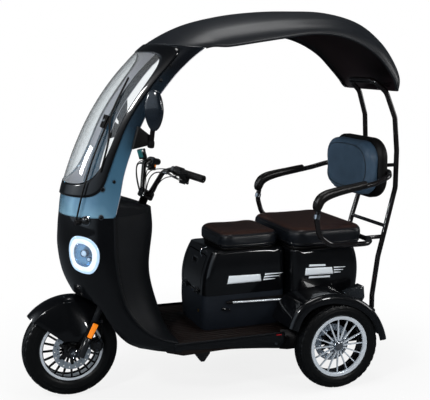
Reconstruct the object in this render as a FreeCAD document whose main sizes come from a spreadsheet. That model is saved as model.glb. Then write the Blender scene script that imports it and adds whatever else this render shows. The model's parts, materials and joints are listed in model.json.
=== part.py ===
import FreeCAD, Part
import math
import os
import Sketcher

# Three-wheeled electric scooter with a windscreen and an arched roof.
# Millimetres. +Z is up, the front looks along -Y and +X is the left-hand side.
# The origin is on the ground under the middle of the whole vehicle.

Vector = FreeCAD.Vector
Placement = FreeCAD.Placement
Rotation = FreeCAD.Rotation

SIZES = [
    ("wheelbase", 1181, "front axle to rear axle, along the ground"),
    ("rear_axle_y", 482, "rear axle behind the origin"),
    ("rear_track", 710, "between the middles of the rear tyres"),
    ("floor_height", 278, "top of the floorboard"),
    ("roof_height", 1745, "top of the roof"),
    ("canopy_half_width", 300, "half the widest part of the roof"),
    ("apron_height", 572.1, "top of the front apron above the floor"),
    ("front_depth", 448.8, "front axle to the rear end of the apron's rim"),
    ("roof_overhang", 421.6, "rear axle to the rear end of the roof"),
    ("skin", 4, "wall of the moulded panels"),
    ("screen_wall", 3, "thickness of the clear screen"),
    ("seat_gap", 0.3, "gap between pieces that seat on each other"),
    ("moving_gap", 6, "least room round anything that moves"),
    ("front_tyre_radius", 219.5, "outside radius of the front tyre"),
    ("front_tyre_width", 92, "section width of the front tyre"),
    ("rear_tyre_radius", 206.5, "outside radius of the rear tyres"),
    ("rear_tyre_width", 84, "section width of the rear tyres"),
    ("rim_radius", 140, "outside radius of the rim flanges"),
    ("rim_wall", 5, "thickness of the rim barrel"),
    ("hub_radius", 36, "radius of the wheel hubs"),
    ("front_spokes", 20, "spokes in the front wheel"),
    ("rear_spokes", 16, "spokes in a rear wheel"),
    ("axle_radius", 8, "radius of the axles"),
    ("axle_end_radius", 6, "radius of the front axle's threaded ends"),
    ("axle_end_length", 16, "length of the front axle's threaded ends"),
    ("axle_clearance", 0.05, "running gap between hub and axle"),
    ("disc_radius", 88, "outside radius of the brake discs"),
    ("disc_wall", 4, "thickness of the brake discs"),
    ("disc_holes", 12, "holes round a brake disc"),
    ("steering_lean", 24, "degrees that the steering axis leans back"),
    ("steering_trail", 35, "from the steering axis on the ground back to the tyre's contact"),
    ("steering_lock", 35, "degrees of steering to each side"),
    ("fork_spread", 88, "fork leg's axis from the middle"),
    ("fork_tube_radius", 15, "upper fork tube"),
    ("fork_slider_radius", 19, "lower fork leg"),
    ("fork_offset", 24, "fork legs ahead of the steering axis"),
    ("steerer_radius", 14, "steering tube"),
    ("head_tube_radius", 26, "outside radius of the head tube"),
    ("down_tube_radius", 22, "radius of the down tube under the head tube"),
    ("front_fender_half_width", 62, "half the width of the front mudguard"),
    ("fender_room", 40, "from a tyre's tread out to its mudguard"),
    ("arch_half_width", 206, "half the width of the front wheel's arch"),
    ("arch_room", 45, "from the front tyre's top to the arch"),
    ("bar_radius", 11, "handlebar tube"),
    ("grip_radius", 16.5, "handlebar grip"),
    ("grip_length", 118, "length of a handlebar grip"),
    ("bar_half_width", 330, "end of the handlebar from the middle"),
    ("bar_end_radius", 7.5, "bore in the ends of the handlebar"),
    ("bar_end_depth", 40, "depth of that bore"),
    ("floor_half_width", 318, "half the width of the floorboard"),
    ("floor_depth", 50, "depth of the floorboard's side"),
    ("tread_height", 2, "height of the ribs on the floorboard"),
    ("tread_count", 22, "ribs across the floorboard"),
    ("beam_width", 150, "width of the chassis beam"),
    ("beam_depth", 46, "depth of the chassis beam"),
    ("box_half_width", 180, "half the width of the front body"),
    ("box_height", 368, "top of the front body above the floor"),
    ("rear_box_half_width", 240, "half the width of the rear body"),
    ("rear_box_height", 362, "top of the rear body above the floor"),
    ("door_half_width", 118, "half the width of the battery door"),
    ("door_height", 164, "height of the battery door"),
    ("door_gap", 5, "gap round the battery door"),
    ("hinge_radius", 3, "pin of the battery door's hinges"),
    ("backrest_half_width", 190, "half the width of the backrest"),
    ("backrest_height", 272, "height of the backrest cushion"),
    ("backrest_corner", 92, "corner radius of the backrest cushion"),
    ("lamp_width", 140, "headlamp across"),
    ("lamp_height", 160, "headlamp from top to bottom"),
    ("lamp_spread", 183, "middle of a headlamp from the middle"),
    ("seat_thickness", 84, "thickness of a seat cushion"),
    ("rail_radius", 12.5, "seat rail and armrest tube"),
    ("post_radius", 12.5, "roof post tube"),
    ("post_spread", 168, "roof post from the middle at the crossbar"),
    ("hoop_spread", 130, "roof post from the middle at the top"),
    ("pad_radius", 21, "armrest pad"),
    ("plate_hole_spacing", 140, "between the bolt holes of the plate under the roof"),
    ("plate_hole_radius", 5.5, "bolt hole of that plate"),
]

# Stations along the moulded skin, from under the floor's front end up the windscreen and over the roof.
# Each holds the middle of the skin (reach, rise) and its edge (width, reach, rise). A reach is 0 at the front
# axle, FRONT_REACH at the end of the apron's rim, 1 at the rear axle and ROOF_REACH at the end of the roof.
# A rise is 0 at the floor, APRON_RISE at the top of the apron and 1 at the top of the roof. A width is a
# share of the canopy's half width.
FRONT_REACH, ROOF_REACH, APRON_RISE = 0.38, 1.357, 0.390
APRON_STATIONS = [
    (0.208, -0.033, 1.060, 0.367, 0.004),
    (0.145, -0.006, 1.017, 0.278, 0.027),
    (0.087, 0.046, 0.947, 0.214, 0.068),
    (0.025, 0.129, 0.873, 0.168, 0.131),
    (-0.017, 0.202, 0.830, 0.146, 0.213),
    (-0.034, 0.281, 0.800, 0.139, 0.281),
    (-0.032, 0.342, 0.770, 0.140, 0.342),
    (-0.026, 0.390, 0.750, 0.142, 0.390),
]
FRAME_STATIONS = [
    (-0.026, 0.390, 0.750, 0.142, 0.390),
    (-0.016, 0.448, 0.740, 0.160, 0.448),
    (0.011, 0.519, 0.733, 0.179, 0.519),
    (0.050, 0.598, 0.733, 0.213, 0.598),
    (0.101, 0.680, 0.737, 0.258, 0.680),
    (0.165, 0.759, 0.750, 0.323, 0.755),
    (0.240, 0.830, 0.773, 0.399, 0.826),
    (0.330, 0.896, 0.813, 0.492, 0.885),
]
ROOF_STATIONS = [
    (0.330, 0.896, 0.813, 0.492, 0.885),
    (0.460, 0.950, 0.860, 0.578, 0.889),
    (0.612, 0.981, 0.907, 0.680, 0.901),
    (0.765, 0.996, 0.937, 0.790, 0.914),
    (0.909, 1.000, 0.967, 0.900, 0.926),
    (1.044, 0.997, 0.990, 1.002, 0.923),
    (1.171, 0.971, 1.000, 1.095, 0.901),
    (1.260, 0.919, 0.997, 1.180, 0.862),
    (1.323, 0.855, 0.973, 1.240, 0.814),
    (1.357, 0.792, 0.920, 1.279, 0.775),
    (1.340, 0.744, 0.860, 1.293, 0.748),
]

doc = FreeCAD.newDocument("Scooter")
sheet = doc.addObject("Spreadsheet::Sheet", "Size")
for row, (alias, value, note) in enumerate(SIZES, start=1):
    sheet.set("A%d" % row, alias)
    sheet.set("B%d" % row, str(value))
    sheet.set("C%d" % row, note)
    sheet.setAlias("B%d" % row, alias)
doc.recompute()

subparts = []


def size(expression):
    """The value of a size, or of a sum of sizes, from the sheet."""
    if not isinstance(expression, str):
        return float(expression)
    return float(sheet.evalExpression(expression))


FRONT_AXLE_Y = size("Size.rear_axle_y - Size.wheelbase")
REAR_AXLE_Y = size("Size.rear_axle_y")
FLOOR = size("Size.floor_height")
RISE = size("Size.roof_height - Size.floor_height")


def keep(piece, label):
    """Give a finished sub-part its name."""
    piece.Label = label
    subparts.append(piece)
    return piece


def feature(label, shape):
    """A sub-part whose shape comes from Part's own functions."""
    piece = doc.addObject("Part::Feature", label)
    piece.Shape = shape
    return keep(piece, label)


def new_body(label):
    """An empty PartDesign body that becomes one sub-part."""
    body = doc.addObject("PartDesign::Body", label)
    return keep(body, label)


def origin_item(body, role):
    return next(item for item in body.Origin.OriginFeatures if item.Role == role)


def move(body, x="0", y="0", z="0"):
    """Bind a body's place to the sheet."""
    for axis, expression in (("x", x), ("y", y), ("z", z)):
        body.setExpression("Placement.Base." + axis, expression)


def sketch_on(body, role, lift="0"):
    """A sketch on one of the body's own origin planes, lifted along the plane's normal."""
    sketch = body.newObject("Sketcher::SketchObject", "Outline")
    sketch.AttachmentSupport = [(origin_item(body, role), "")]
    sketch.MapMode = "FlatFace"
    sketch.setExpression("AttachmentOffset.Base.z", lift)
    return sketch


def bound(sketch, kind, arguments, expression):
    """A dimension of the sketch that follows the sheet."""
    index = sketch.addConstraint(Sketcher.Constraint(kind, *arguments, size(expression)))
    if isinstance(expression, str):
        sketch.setExpression("Constraints[%d]" % index, expression)


def arc_between(start, end, radius):
    """The shorter arc from start to end; a negative radius turns it clockwise."""
    chord = end - start
    height = math.sqrt(max(radius * radius - chord.Length ** 2 / 4, 0))
    left = Vector(-chord.y, chord.x, 0).normalize()
    centre = (start + end) * 0.5 + left * math.copysign(height, radius)
    first, last = (start, end) if radius > 0 else (end, start)
    angles = [math.atan2(p.y - centre.y, p.x - centre.x) for p in (first, last)]
    return Part.ArcOfCircle(Part.Circle(centre, Vector(0, 0, 1), abs(radius)), *angles)


def outline(sketch, corners):
    """A closed outline. A corner is (x, y), or (x, y, radius) where an arc runs to the next corner."""
    points = [Vector(size(corner[0]), size(corner[1]), 0) for corner in corners]
    ends = []
    for index, corner in enumerate(corners):
        start, end = points[index], points[(index + 1) % len(points)]
        if len(corner) == 2:
            item = sketch.addGeometry(Part.LineSegment(start, end), False)
            ends.append((item, 1, 2))
        else:
            radius = size(corner[2])
            item = sketch.addGeometry(arc_between(start, end, radius), False)
            ends.append((item, 1, 2) if radius > 0 else (item, 2, 1))
    for index, (item, first, last) in enumerate(ends):
        following = ends[(index + 1) % len(ends)]
        sketch.addConstraint(Sketcher.Constraint("Coincident", item, last, following[0], following[1]))
    for corner, (item, first, last) in zip(corners, ends):
        bound(sketch, "DistanceX", (-1, 1, item, first), corner[0])
        bound(sketch, "DistanceY", (-1, 1, item, first), corner[1])
        if len(corner) == 3:
            radius = corner[2]
            if isinstance(radius, str) and size(radius) < 0:
                radius = "-(%s)" % radius
            elif not isinstance(radius, str):
                radius = abs(radius)
            bound(sketch, "Radius", (item,), radius)
    return sketch


def circle(sketch, radius, x="0", y="0"):
    """A circle whose centre and radius follow the sheet."""
    centre = Vector(size(x), size(y), 0)
    item = sketch.addGeometry(Part.Circle(centre, Vector(0, 0, 1), size(radius)), False)
    bound(sketch, "DistanceX", (-1, 1, item, 3), x)
    bound(sketch, "DistanceY", (-1, 1, item, 3), y)
    bound(sketch, "Radius", (item,), radius)
    return sketch


def pad(body, sketch, length, midplane=False, reverse=False):
    item = body.newObject("PartDesign::Pad", "Pad")
    item.Profile = sketch
    item.setExpression("Length", length)
    item.Midplane = midplane
    item.Reversed = reverse
    sketch.Visibility = False
    doc.recompute()
    return item


def pocket(body, sketch, length, midplane=False, reverse=False):
    """A cut that has to take something away."""
    before = body.Shape.Volume
    item = body.newObject("PartDesign::Pocket", "Pocket")
    item.Profile = sketch
    item.setExpression("Length", length)
    item.Midplane = midplane
    item.Reversed = reverse
    doc.recompute()
    if item.Shape.Volume > before - 0.01:
        raise RuntimeError("A pocket in %s cuts nothing" % body.Label)
    return item


def revolve(body, sketch, axis="H_Axis", angle="360"):
    item = body.newObject("PartDesign::Revolution", "Turned")
    item.Profile = sketch
    item.ReferenceAxis = (sketch, [axis])
    item.setExpression("Angle", angle)
    doc.recompute()
    return item


def repeat_round(body, pattern_of, count, role="X_Axis"):
    """Copies of a feature round one of the body's axes."""
    item = body.newObject("PartDesign::PolarPattern", "Round")
    item.Originals = [pattern_of]
    item.Axis = (origin_item(body, role), [""])
    item.Angle = 360
    item.setExpression("Occurrences", count)
    body.Tip = item
    doc.recompute()
    return item


def edges_where(shape, test):
    """Names of the edges whose middle point and direction pass the test."""
    names = []
    for index, edge in enumerate(shape.Edges, start=1):
        middle = edge.valueAt((edge.FirstParameter + edge.LastParameter) / 2)
        along = edge.tangentAt((edge.FirstParameter + edge.LastParameter) / 2)
        if test(middle, along):
            names.append("Edge%d" % index)
    return names


def round_edges(body, radius, test):
    """Round the edges of the body's last feature that pass the test."""
    base = body.Tip
    item = body.newObject("PartDesign::Fillet", "Rounded")
    item.Base = (base, edges_where(base.Shape, test))
    item.setExpression("Radius", radius)
    doc.recompute()
    return item


def along_x(middle, along):
    return abs(along.x) > 0.99


def along_y(middle, along):
    return abs(along.y) > 0.99


def along_z(middle, along):
    return abs(along.z) > 0.99


def bent_wire(points, bend):
    """Straight runs joined by arcs of one bend radius, cut down where a run is short."""
    edges = []
    start = points[0]
    for before, corner, after in zip(points, points[1:], points[2:]):
        into = (corner - before).normalize()
        out = (after - corner).normalize()
        turn = into.getAngle(out)
        room = 0.45 * min((corner - before).Length, (after - corner).Length)
        setback = min(bend * math.tan(turn / 2), room)
        first = corner - into * setback
        last = corner + out * setback
        rise = (last - first).Length / 2 * math.tan(turn / 4)
        middle = (first + last) * 0.5 - (out - into).normalize() * rise
        edges.append(Part.LineSegment(start, first).toShape())
        edges.append(Part.Arc(first, middle, last).toShape())
        start = last
    edges.append(Part.LineSegment(start, points[-1]).toShape())
    return Part.Wire(edges)


def tube(points, radius, bend):
    """A round tube along straight runs and bends."""
    path = bent_wire([Vector(*point) for point in points], bend)
    first = path.Edges[0]
    ring = Part.Circle(first.valueAt(first.FirstParameter), first.tangentAt(first.FirstParameter), radius)
    section = Part.Wire(ring.toShape())
    return path.makePipeShell([section], True, True)


def mirrored(points):
    return [(-x, y, z) for x, y, z in points]


def both_sides(points):
    """A route through points on the left, carried on to the same points on the right."""
    return mirrored(points)[::-1] + points


def at_rear(*points):
    """Places given from the rear axle's line and the top of the floor."""
    return [(x, REAR_AXLE_Y + y, FLOOR + z) for x, y, z in points]


def fused(shapes):
    return shapes[0].multiFuse(shapes[1:]).removeSplitter()


def reach_y(reach):
    """A place along the skin from its reach."""
    front, overhang = size("Size.front_depth"), size("Size.roof_overhang")
    if reach <= FRONT_REACH:
        return FRONT_AXLE_Y + front * reach / FRONT_REACH
    if reach >= 1:
        return REAR_AXLE_Y + overhang * (reach - 1) / (ROOF_REACH - 1)
    return FRONT_AXLE_Y + front + (size("Size.wheelbase") - front) * (reach - FRONT_REACH) / (1 - FRONT_REACH)


def rise_z(rise):
    """A height on the skin from its rise."""
    apron = size("Size.apron_height")
    if rise <= APRON_RISE:
        return FLOOR + apron * rise / APRON_RISE
    return FLOOR + apron + (RISE - apron) * (rise - APRON_RISE) / (1 - APRON_RISE)


def station_points(station, inset, reach, count):
    """Points across the skin at one station, from the right-hand edge to the left-hand one."""
    centre_reach, centre_rise, width, edge_reach, edge_rise = station
    centre = Vector(0, reach_y(centre_reach), rise_z(centre_rise))
    edge = Vector(0, reach_y(edge_reach), rise_z(edge_rise))
    half_width = size("Size.canopy_half_width") * width
    depth = (edge - centre).Length
    inward = (edge - centre).normalize()
    points = []
    for step in range(count):
        angle = math.radians(-reach + 2 * reach * step / (count - 1))
        across = (half_width - inset) * math.sin(angle)
        along = inset + (depth - inset) * (1 - math.cos(angle))
        points.append(centre + inward * along + Vector(across, 0, 0))
    return points


def smooth_edge(points):
    """A smooth edge through points, with the same parameters for as many points."""
    curve = Part.BSplineCurve()
    steps = [index / (len(points) - 1) for index in range(len(points))]
    curve.interpolate(Points=points, Parameters=steps)
    return curve.toShape()


def line(start, end):
    return Part.LineSegment(Vector(*start), Vector(*end)).toShape()


def band_wire(station, outer, inner, reach):
    """The outline of the skin's wall at one station."""
    count = 11
    outside = station_points(station, outer, reach, count)
    inside = station_points(station, inner, reach, count)
    return Part.Wire([
        smooth_edge(outside), line(outside[-1], inside[-1]),
        smooth_edge(inside[::-1]), line(inside[0], outside[0])])


def skin_band(stations, outer, inner, reach=90):
    """A moulded wall that follows the skin between two depths below its outer face."""
    return Part.makeLoft([band_wire(station, outer, inner, reach) for station in stations], True, False)


def between(first, second, share):
    return tuple(a + (b - a) * share for a, b in zip(first, second))


def skin_point(stations, across, rise, lift):
    """A point on the skin at a distance from the middle and a rise, lifted off it."""
    index = next(i for i in range(len(stations) - 1) if stations[i + 1][1] >= rise)
    low, high = stations[index], stations[index + 1]
    station = between(low, high, (rise - low[1]) / (high[1] - low[1]))
    half_width = size("Size.canopy_half_width") * station[2]
    angle = math.degrees(math.asin(across / half_width))
    return station_points(station, -lift, angle, 2)[1]


def rounded_wire(half_width, front, rear, radius, height):
    """A rectangle with round corners in a level plane, the same on both sides."""
    points = [
        Vector(-half_width, front, height), Vector(half_width, front, height),
        Vector(half_width, rear, height), Vector(-half_width, rear, height)]
    edges = []
    for index, corner in enumerate(points):
        before, after = points[index - 1], points[(index + 1) % len(points)]
        into = (corner - before).normalize()
        out = (after - corner).normalize()
        first = corner - into * radius
        last = corner + out * radius
        middle = corner + (out - into) * radius * (1 - math.sqrt(0.5))
        edges.append(Part.Arc(first, middle, last).toShape())
        edges.append(line(last, after - out * radius))
    return Part.Wire(edges)


def moulded_box(levels):
    """A closed form through level rounded rectangles: (half width, front, rear, radius, height)."""
    return Part.makeLoft([rounded_wire(*level) for level in levels], True, False)


def from_rear(*levels):
    """Levels given from the rear axle's line and the top of the floor."""
    return [(half_width, REAR_AXLE_Y + front, REAR_AXLE_Y + rear, radius, FLOOR + height)
            for half_width, front, rear, radius, height in levels]


def inset_levels(levels, wall):
    """The same levels with a wall taken off all round, or laid on where it is negative."""
    return [(half_width - wall, front + wall, rear - wall, radius - wall, height)
            for half_width, front, rear, radius, height in levels]


def shell_box(levels, wall):
    """A moulded box with one wall all round, open below."""
    inside = inset_levels(levels, wall)
    inside[0] = inside[0][:4] + (inside[0][4] - 1,)
    inside[-1] = inside[-1][:4] + (inside[-1][4] - wall,)
    return moulded_box(levels).cut(moulded_box(inside))


def block(x0, x1, y0, y1, z0, z1):
    return Part.makeBox(x1 - x0, y1 - y0, z1 - z0, Vector(x0, y0, z0))


def rod(start, end, radius):
    start, end = Vector(*start), Vector(*end)
    return Part.makeCylinder(radius, (end - start).Length, start, end - start)


def fillet_where(shape, radius, test):
    """Round a plain shape's edges whose middle point and direction pass the test."""
    picked = []
    for edge in shape.Edges:
        half = (edge.FirstParameter + edge.LastParameter) / 2
        if test(edge.valueAt(half), edge.tangentAt(half)):
            picked.append(edge)
    return shape.makeFillet(radius, picked)


# Steering axis: its direction and where it meets the ground, worked out from the lean and the trail.
LEAN = math.radians(size("Size.steering_lean"))
AXIS = Vector(0, math.sin(LEAN), math.cos(LEAN))
AXIS_FOOT = Vector(0, FRONT_AXLE_Y - size("Size.steering_trail"), 0)
ACROSS_AXIS = Rotation(Vector(1, 0, 0), -size("Size.steering_lean"))
FRONT_AXLE = Vector(0, FRONT_AXLE_Y, size("Size.front_tyre_radius"))


def on_steering_axis(height, forward=0, across=0):
    """A point at a height on the steering axis, moved forward square to the axis and across."""
    ahead = Vector(0, -math.cos(LEAN), math.sin(LEAN))
    return AXIS_FOOT + AXIS * (height / math.cos(LEAN)) + ahead * forward + Vector(across, 0, 0)


def make_apron():
    """The front moulding, with the arch for the steered wheel and the two lamp openings."""
    shell = skin_band(APRON_STATIONS, 0, size("Size.skin"))
    half_width = size("Size.arch_half_width")
    top = size("2 * Size.front_tyre_radius + Size.arch_room")
    arch = block(-half_width, half_width, FRONT_AXLE_Y - 400, FRONT_AXLE_Y + 275, 100, top)
    arch = fillet_where(arch, 60, lambda middle, along: abs(along.y) > 0.99 and middle.z > 200)
    shell = shell.cut(arch)
    for side in (-1, 1):
        shell = shell.cut(lamp_prism(side, size("Size.seat_gap")))
    feature("front_apron", shell)


LAMP_ANGLE = 45
LAMP_OUTLINE = [
    (-0.55, 1.0), (0.45, 0.9), (1.0, 0.35), (1.0, -0.45),
    (0.5, -1.0), (-0.6, -0.85), (-1.0, -0.3), (-1.0, 0.55)]


def lamp_prism(side, grow):
    """The lamp's outline as a prism that points out of the apron."""
    wide = size("Size.lamp_width") / 2 + grow
    tall = size("Size.lamp_height") / 2 + grow
    corners = [Vector(side * u * wide, -70, v * tall) for u, v in LAMP_OUTLINE]
    prism = Part.Face(Part.makePolygon(corners + corners[:1])).extrude(Vector(0, 140, 0))
    prism = fillet_where(prism, 24, along_y)
    centre = Vector(side * size("Size.lamp_spread"), FRONT_AXLE_Y + 32, rise_z(0.280))
    prism.Placement = Placement(centre, Rotation(Vector(0, 0, 1), side * LAMP_ANGLE))
    return prism


def make_headlamps():
    """Two lamps: each is a block that follows the apron's skin."""
    body = skin_band(APRON_STATIONS, -3, 34)
    feature("headlamps", Part.makeCompound([body.common(lamp_prism(side, 0)) for side in (-1, 1)]))


def make_windscreen():
    """The frame with its window, and the clear screen that lies on it."""
    skin = size("Size.skin")
    gap = size("Size.seat_gap")
    sill = between(FRAME_STATIONS[1], FRAME_STATIONS[2], 0.55)
    head = between(FRAME_STATIONS[6], FRAME_STATIONS[7], 0.7)
    window = skin_band([sill] + FRAME_STATIONS[2:7] + [head], -10, 15, 63)
    feature("windscreen_frame", skin_band(FRAME_STATIONS, 0, skin).cut(window))
    feature("windscreen", skin_band(FRAME_STATIONS, -gap - size("Size.screen_wall"), -gap, 70))


def make_roof():
    """The roof is one moulded wall, open at both ends."""
    feature("roof", skin_band(ROOF_STATIONS, 0, size("Size.skin")))


def level_station(rise):
    """The skin's station at a rise, between the stations that lie level."""
    stations = APRON_STATIONS + FRAME_STATIONS[1:]
    index = next(i for i in range(len(stations) - 1) if stations[i + 1][4] > rise)
    low, high = stations[index], stations[index + 1]
    return between(low, high, (rise - low[4]) / (high[4] - low[4]))


# The column behind the apron: rise of a level, and how far its back is from the front axle.
COLUMN_FIT = 1.7
RIM_LAP = 12
COLUMN_LEVELS = [
    (0.004, 441), (0.027, 431), (0.068, 413), (0.131, 387), (0.213, 369), (0.281, 380), (0.342, 390),
    (APRON_RISE, 385)]
LID_RISE, LID_SLOPE = 0.4335, 15


def column_wire(rise, back, inset, ahead):
    """Half an oval that bulges back from the skin's rim, closed in front."""
    height = rise_z(rise)
    station = level_station(rise)
    rim = reach_y(station[3]) - RIM_LAP
    half_width = size("Size.canopy_half_width") * station[2] - size("Size.skin") - COLUMN_FIT - inset
    depth = FRONT_AXLE_Y + back - inset - rim
    points = []
    for step in range(11):
        angle = math.radians(-90 + 18 * step)
        points.append(Vector(half_width * math.sin(angle), rim + depth * math.cos(angle), height))
    right, left = Vector(-half_width, rim - ahead, height), Vector(half_width, rim - ahead, height)
    return Part.Wire([smooth_edge(points), line(points[-1], left), line(left, right), line(right, points[0])])


def make_column():
    """The moulding behind the apron that covers the steering column, and its domed lid."""
    skin = size("Size.skin")
    outer = Part.makeLoft([column_wire(rise, back, 0, 2) for rise, back in COLUMN_LEVELS], True, False)
    inner = Part.makeLoft([column_wire(rise, back, skin, 30) for rise, back in COLUMN_LEVELS], True, False)
    feature("inner_shield", outer.cut(inner))
    make_column_lid(COLUMN_LEVELS[-1][1])


def lid_wire(rise, lift, back, inset):
    """An outline that follows the skin in front and the column behind, lifted above a rise."""
    height = rise_z(rise) + lift
    station = level_station(rise)
    rim = reach_y(station[3]) - RIM_LAP
    fit = size("Size.skin") + COLUMN_FIT + inset
    half_width = size("Size.canopy_half_width") * station[2] - fit
    depth = FRONT_AXLE_Y + back - inset - rim
    behind = []
    for step in range(11):
        angle = math.radians(90 - 18 * step)
        behind.append(Vector(half_width * math.sin(angle), rim + depth * math.cos(angle), height))
    ahead = station_points(station, fit, 86, 11)
    for point in ahead:
        point.z = height
    return Part.Wire([
        smooth_edge(ahead), line(ahead[-1], behind[0]), smooth_edge(behind), line(behind[-1], ahead[0])])


def make_column_lid(back):
    """The lid that closes the column up to the windscreen, with a hole for the steering tube."""
    skin = size("Size.skin")
    lid = Part.makeLoft([
        lid_wire(APRON_RISE, size("Size.seat_gap"), back, 0),
        lid_wire(LID_RISE, 0, back - 4, 0)], True, False)
    hollow = Part.makeLoft([
        lid_wire(APRON_RISE, -1, back, skin), lid_wire(LID_RISE, -skin, back - 4, skin)], True, False)
    top = rise_z(APRON_RISE)
    slope = Part.makeBox(600, 520, 120, Vector(-300, -320, 0))
    tilt = Rotation(Vector(1, 0, 0), -LID_SLOPE)
    slope.Placement = Placement(Vector(0, FRONT_AXLE_Y + back, top + 8), tilt)
    slope_room = slope.copy()
    slope_room.translate(Vector(0, 0, -skin))
    clear = size("Size.steerer_radius + Size.moving_gap")
    hole = Part.makeCylinder(clear, 400, on_steering_axis(top - 150), AXIS)
    feature("column_lid", lid.cut(slope).cut(hollow.cut(slope_room)).cut(hole))


def make_floorboard():
    """The floorboard is a pan turned over, ribbed on top."""
    body = new_body("floorboard")
    sketch = sketch_on(body, "XY_Plane", "Size.floor_height - Size.floor_depth")
    side = "Size.floor_half_width"
    rear = "Size.rear_axle_y - 188"
    shoulder = "Size.rear_axle_y - Size.wheelbase + 441"
    front = "Size.rear_axle_y - Size.wheelbase + 385"
    outline(sketch, [
        ("-" + side, shoulder), ("-%s + 36" % side, rear), ("%s - 36" % side, rear), (side, shoulder),
        ("%s - 60" % side, front), ("-%s + 60" % side, front)])
    pad(body, sketch, "Size.floor_depth")
    round_edges(body, "14", along_z)
    inner = sketch_on(body, "XY_Plane", "Size.floor_height - Size.floor_depth")
    outline(inner, [
        ("-%s + 5" % side, shoulder + " + 4"), ("-%s + 41" % side, rear + " - 5"),
        ("%s - 41" % side, rear + " - 5"), ("%s - 5" % side, shoulder + " + 4"),
        ("%s - 64" % side, front + " + 5"), ("-%s + 64" % side, front + " + 5")])
    pocket(body, inner, "Size.floor_depth - 6", reverse=True)
    ribs = sketch_on(body, "XY_Plane", "Size.floor_height")
    rib_front = "Size.rear_axle_y - Size.wheelbase + 463"
    count = int(size("Size.tread_count"))
    for index in range(count):
        across = "(%s - 54) * %g" % (side, 2 * index / (count - 1) - 1)
        beside = abs(size(across)) > size("Size.box_half_width") + 6
        rib_rear = "Size.rear_axle_y - 200" if beside else "Size.rear_axle_y - 603"
        outline(ribs, [
            (across + " - 4", rib_front), (across + " + 4", rib_front),
            (across + " + 4", rib_rear), (across + " - 4", rib_rear)])
    pad(body, ribs, "Size.tread_height")


BEAM_FRONT, BEAM_REAR = FRONT_AXLE_Y + 327, REAR_AXLE_Y - 120
OUTRIGGER_SHARES = (0.12, 0.35, 0.58, 0.81)
# The trailing arms lie inside the rear body's sides, the subframe's rails inside the arms, the motor between them.
ARM_X = size("Size.rear_box_half_width") - 90
RAIL_X = ARM_X - 50
MOTOR_HALF_WIDTH = RAIL_X - 40


def outrigger_y(share):
    """The middle of an outrigger, from its share of the beam's length."""
    return BEAM_FRONT + (BEAM_REAR - BEAM_FRONT) * share


def down_tube_route():
    """From the head tube down to the front of the beam."""
    foot = BEAM_FRONT + 26
    bottom = FLOOR - size("Size.floor_depth") - size("Size.beam_depth")
    return [
        tuple(on_steering_axis(640, -20)), (0, foot - 50, FLOOR + 222),
        (0, foot, FLOOR + 62), (0, foot, bottom + 20)]


def make_chassis():
    """Beam under the floor with outriggers, down tube and head tube, and the rear subframe."""
    half = size("Size.beam_width") / 2
    top = FLOOR - size("Size.floor_depth")
    bottom = top - size("Size.beam_depth")
    parts = [block(-half, half, BEAM_FRONT, BEAM_REAR, bottom, top)]
    for share in OUTRIGGER_SHARES:
        y = outrigger_y(share)
        reach = size("Size.floor_half_width") - 33
        parts.append(block(-reach, reach, y - 15, y + 15, top - 26, top))
    low, high = on_steering_axis(600), on_steering_axis(830)
    parts.append(Part.makeCylinder(size("Size.head_tube_radius"), (high - low).Length, low, AXIS))
    stub = Part.Face(Part.makePolygon([
        Vector(138, y, z) for y, z in ((-626, -100), (-556, -100), (-556, -110), (-584, -147), (-600, -147),
                                       (-626, -112), (-626, -100))])).extrude(Vector(24, 0, 0))
    stub.translate(Vector(0, REAR_AXLE_Y, FLOOR))
    parts += [stub, block(half - 1, 162, REAR_AXLE_Y - 618, REAR_AXLE_Y - 562, bottom + 2, bottom + 14)]
    parts.append(tube(down_tube_route(), size("Size.down_tube_radius"), 120))
    spread = size("Size.post_spread")
    foot_rise = 12
    rail = at_rear(
        (60, -170, -72), (60, -125, -72), (RAIL_X, -80, -18), (RAIL_X, 220, -18), (RAIL_X, 298, foot_rise))
    parts += [tube(rail, 16, 60), tube(mirrored(rail), 16, 60)]
    cross = [(298, foot_rise, spread + 12, 14), (12, 67, ARM_X + 18, 12)]
    for y, z, reach, radius in cross:
        parts.append(rod((-reach, REAR_AXLE_Y + y, FLOOR + z), (reach, REAR_AXLE_Y + y, FLOOR + z), radius))
    for side in (-1, 1):
        foot = Vector(side * RAIL_X, REAR_AXLE_Y + 12, FLOOR - 18)
        parts.append(rod(foot, foot + Vector(0, 0, 85), 10))
    ledge = FLOOR + 20 - size("Size.seat_gap")
    for y, low in ((-154, FLOOR - 52), (154, FLOOR - 28)):
        reach = size("Size.rear_box_half_width") - 35
        parts.append(block(-reach, reach, REAR_AXLE_Y + y - 14, REAR_AXLE_Y + y + 14, low, ledge))
    bore = Part.makeCylinder(size("Size.steerer_radius") + 0.05, 400, on_steering_axis(500), AXIS)
    feature("chassis", fused(parts).cut(bore))


WAIST = 165


def front_body_levels():
    half = size("Size.box_half_width")
    gap = size("Size.seat_gap")
    top = size("Size.box_height")
    return from_rear(
        (half - 6, -590, -178, 34, WAIST + gap), (half, -588, -178, 36, WAIST + 60),
        (half, -570, -178, 40, top - 60), (half - 8, -544, -178, 40, top))



def door_prism(grow):
    """The battery door's outline as a prism through the front wall."""
    half = size("Size.door_half_width") + grow
    low = FLOOR + WAIST + 14 - grow
    high = FLOOR + WAIST + 14 + size("Size.door_height") + grow
    prism = block(-half, half, REAR_AXLE_Y - 620, REAR_AXLE_Y - 520, low, high)
    return fillet_where(prism, 14 + grow, along_y)


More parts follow.
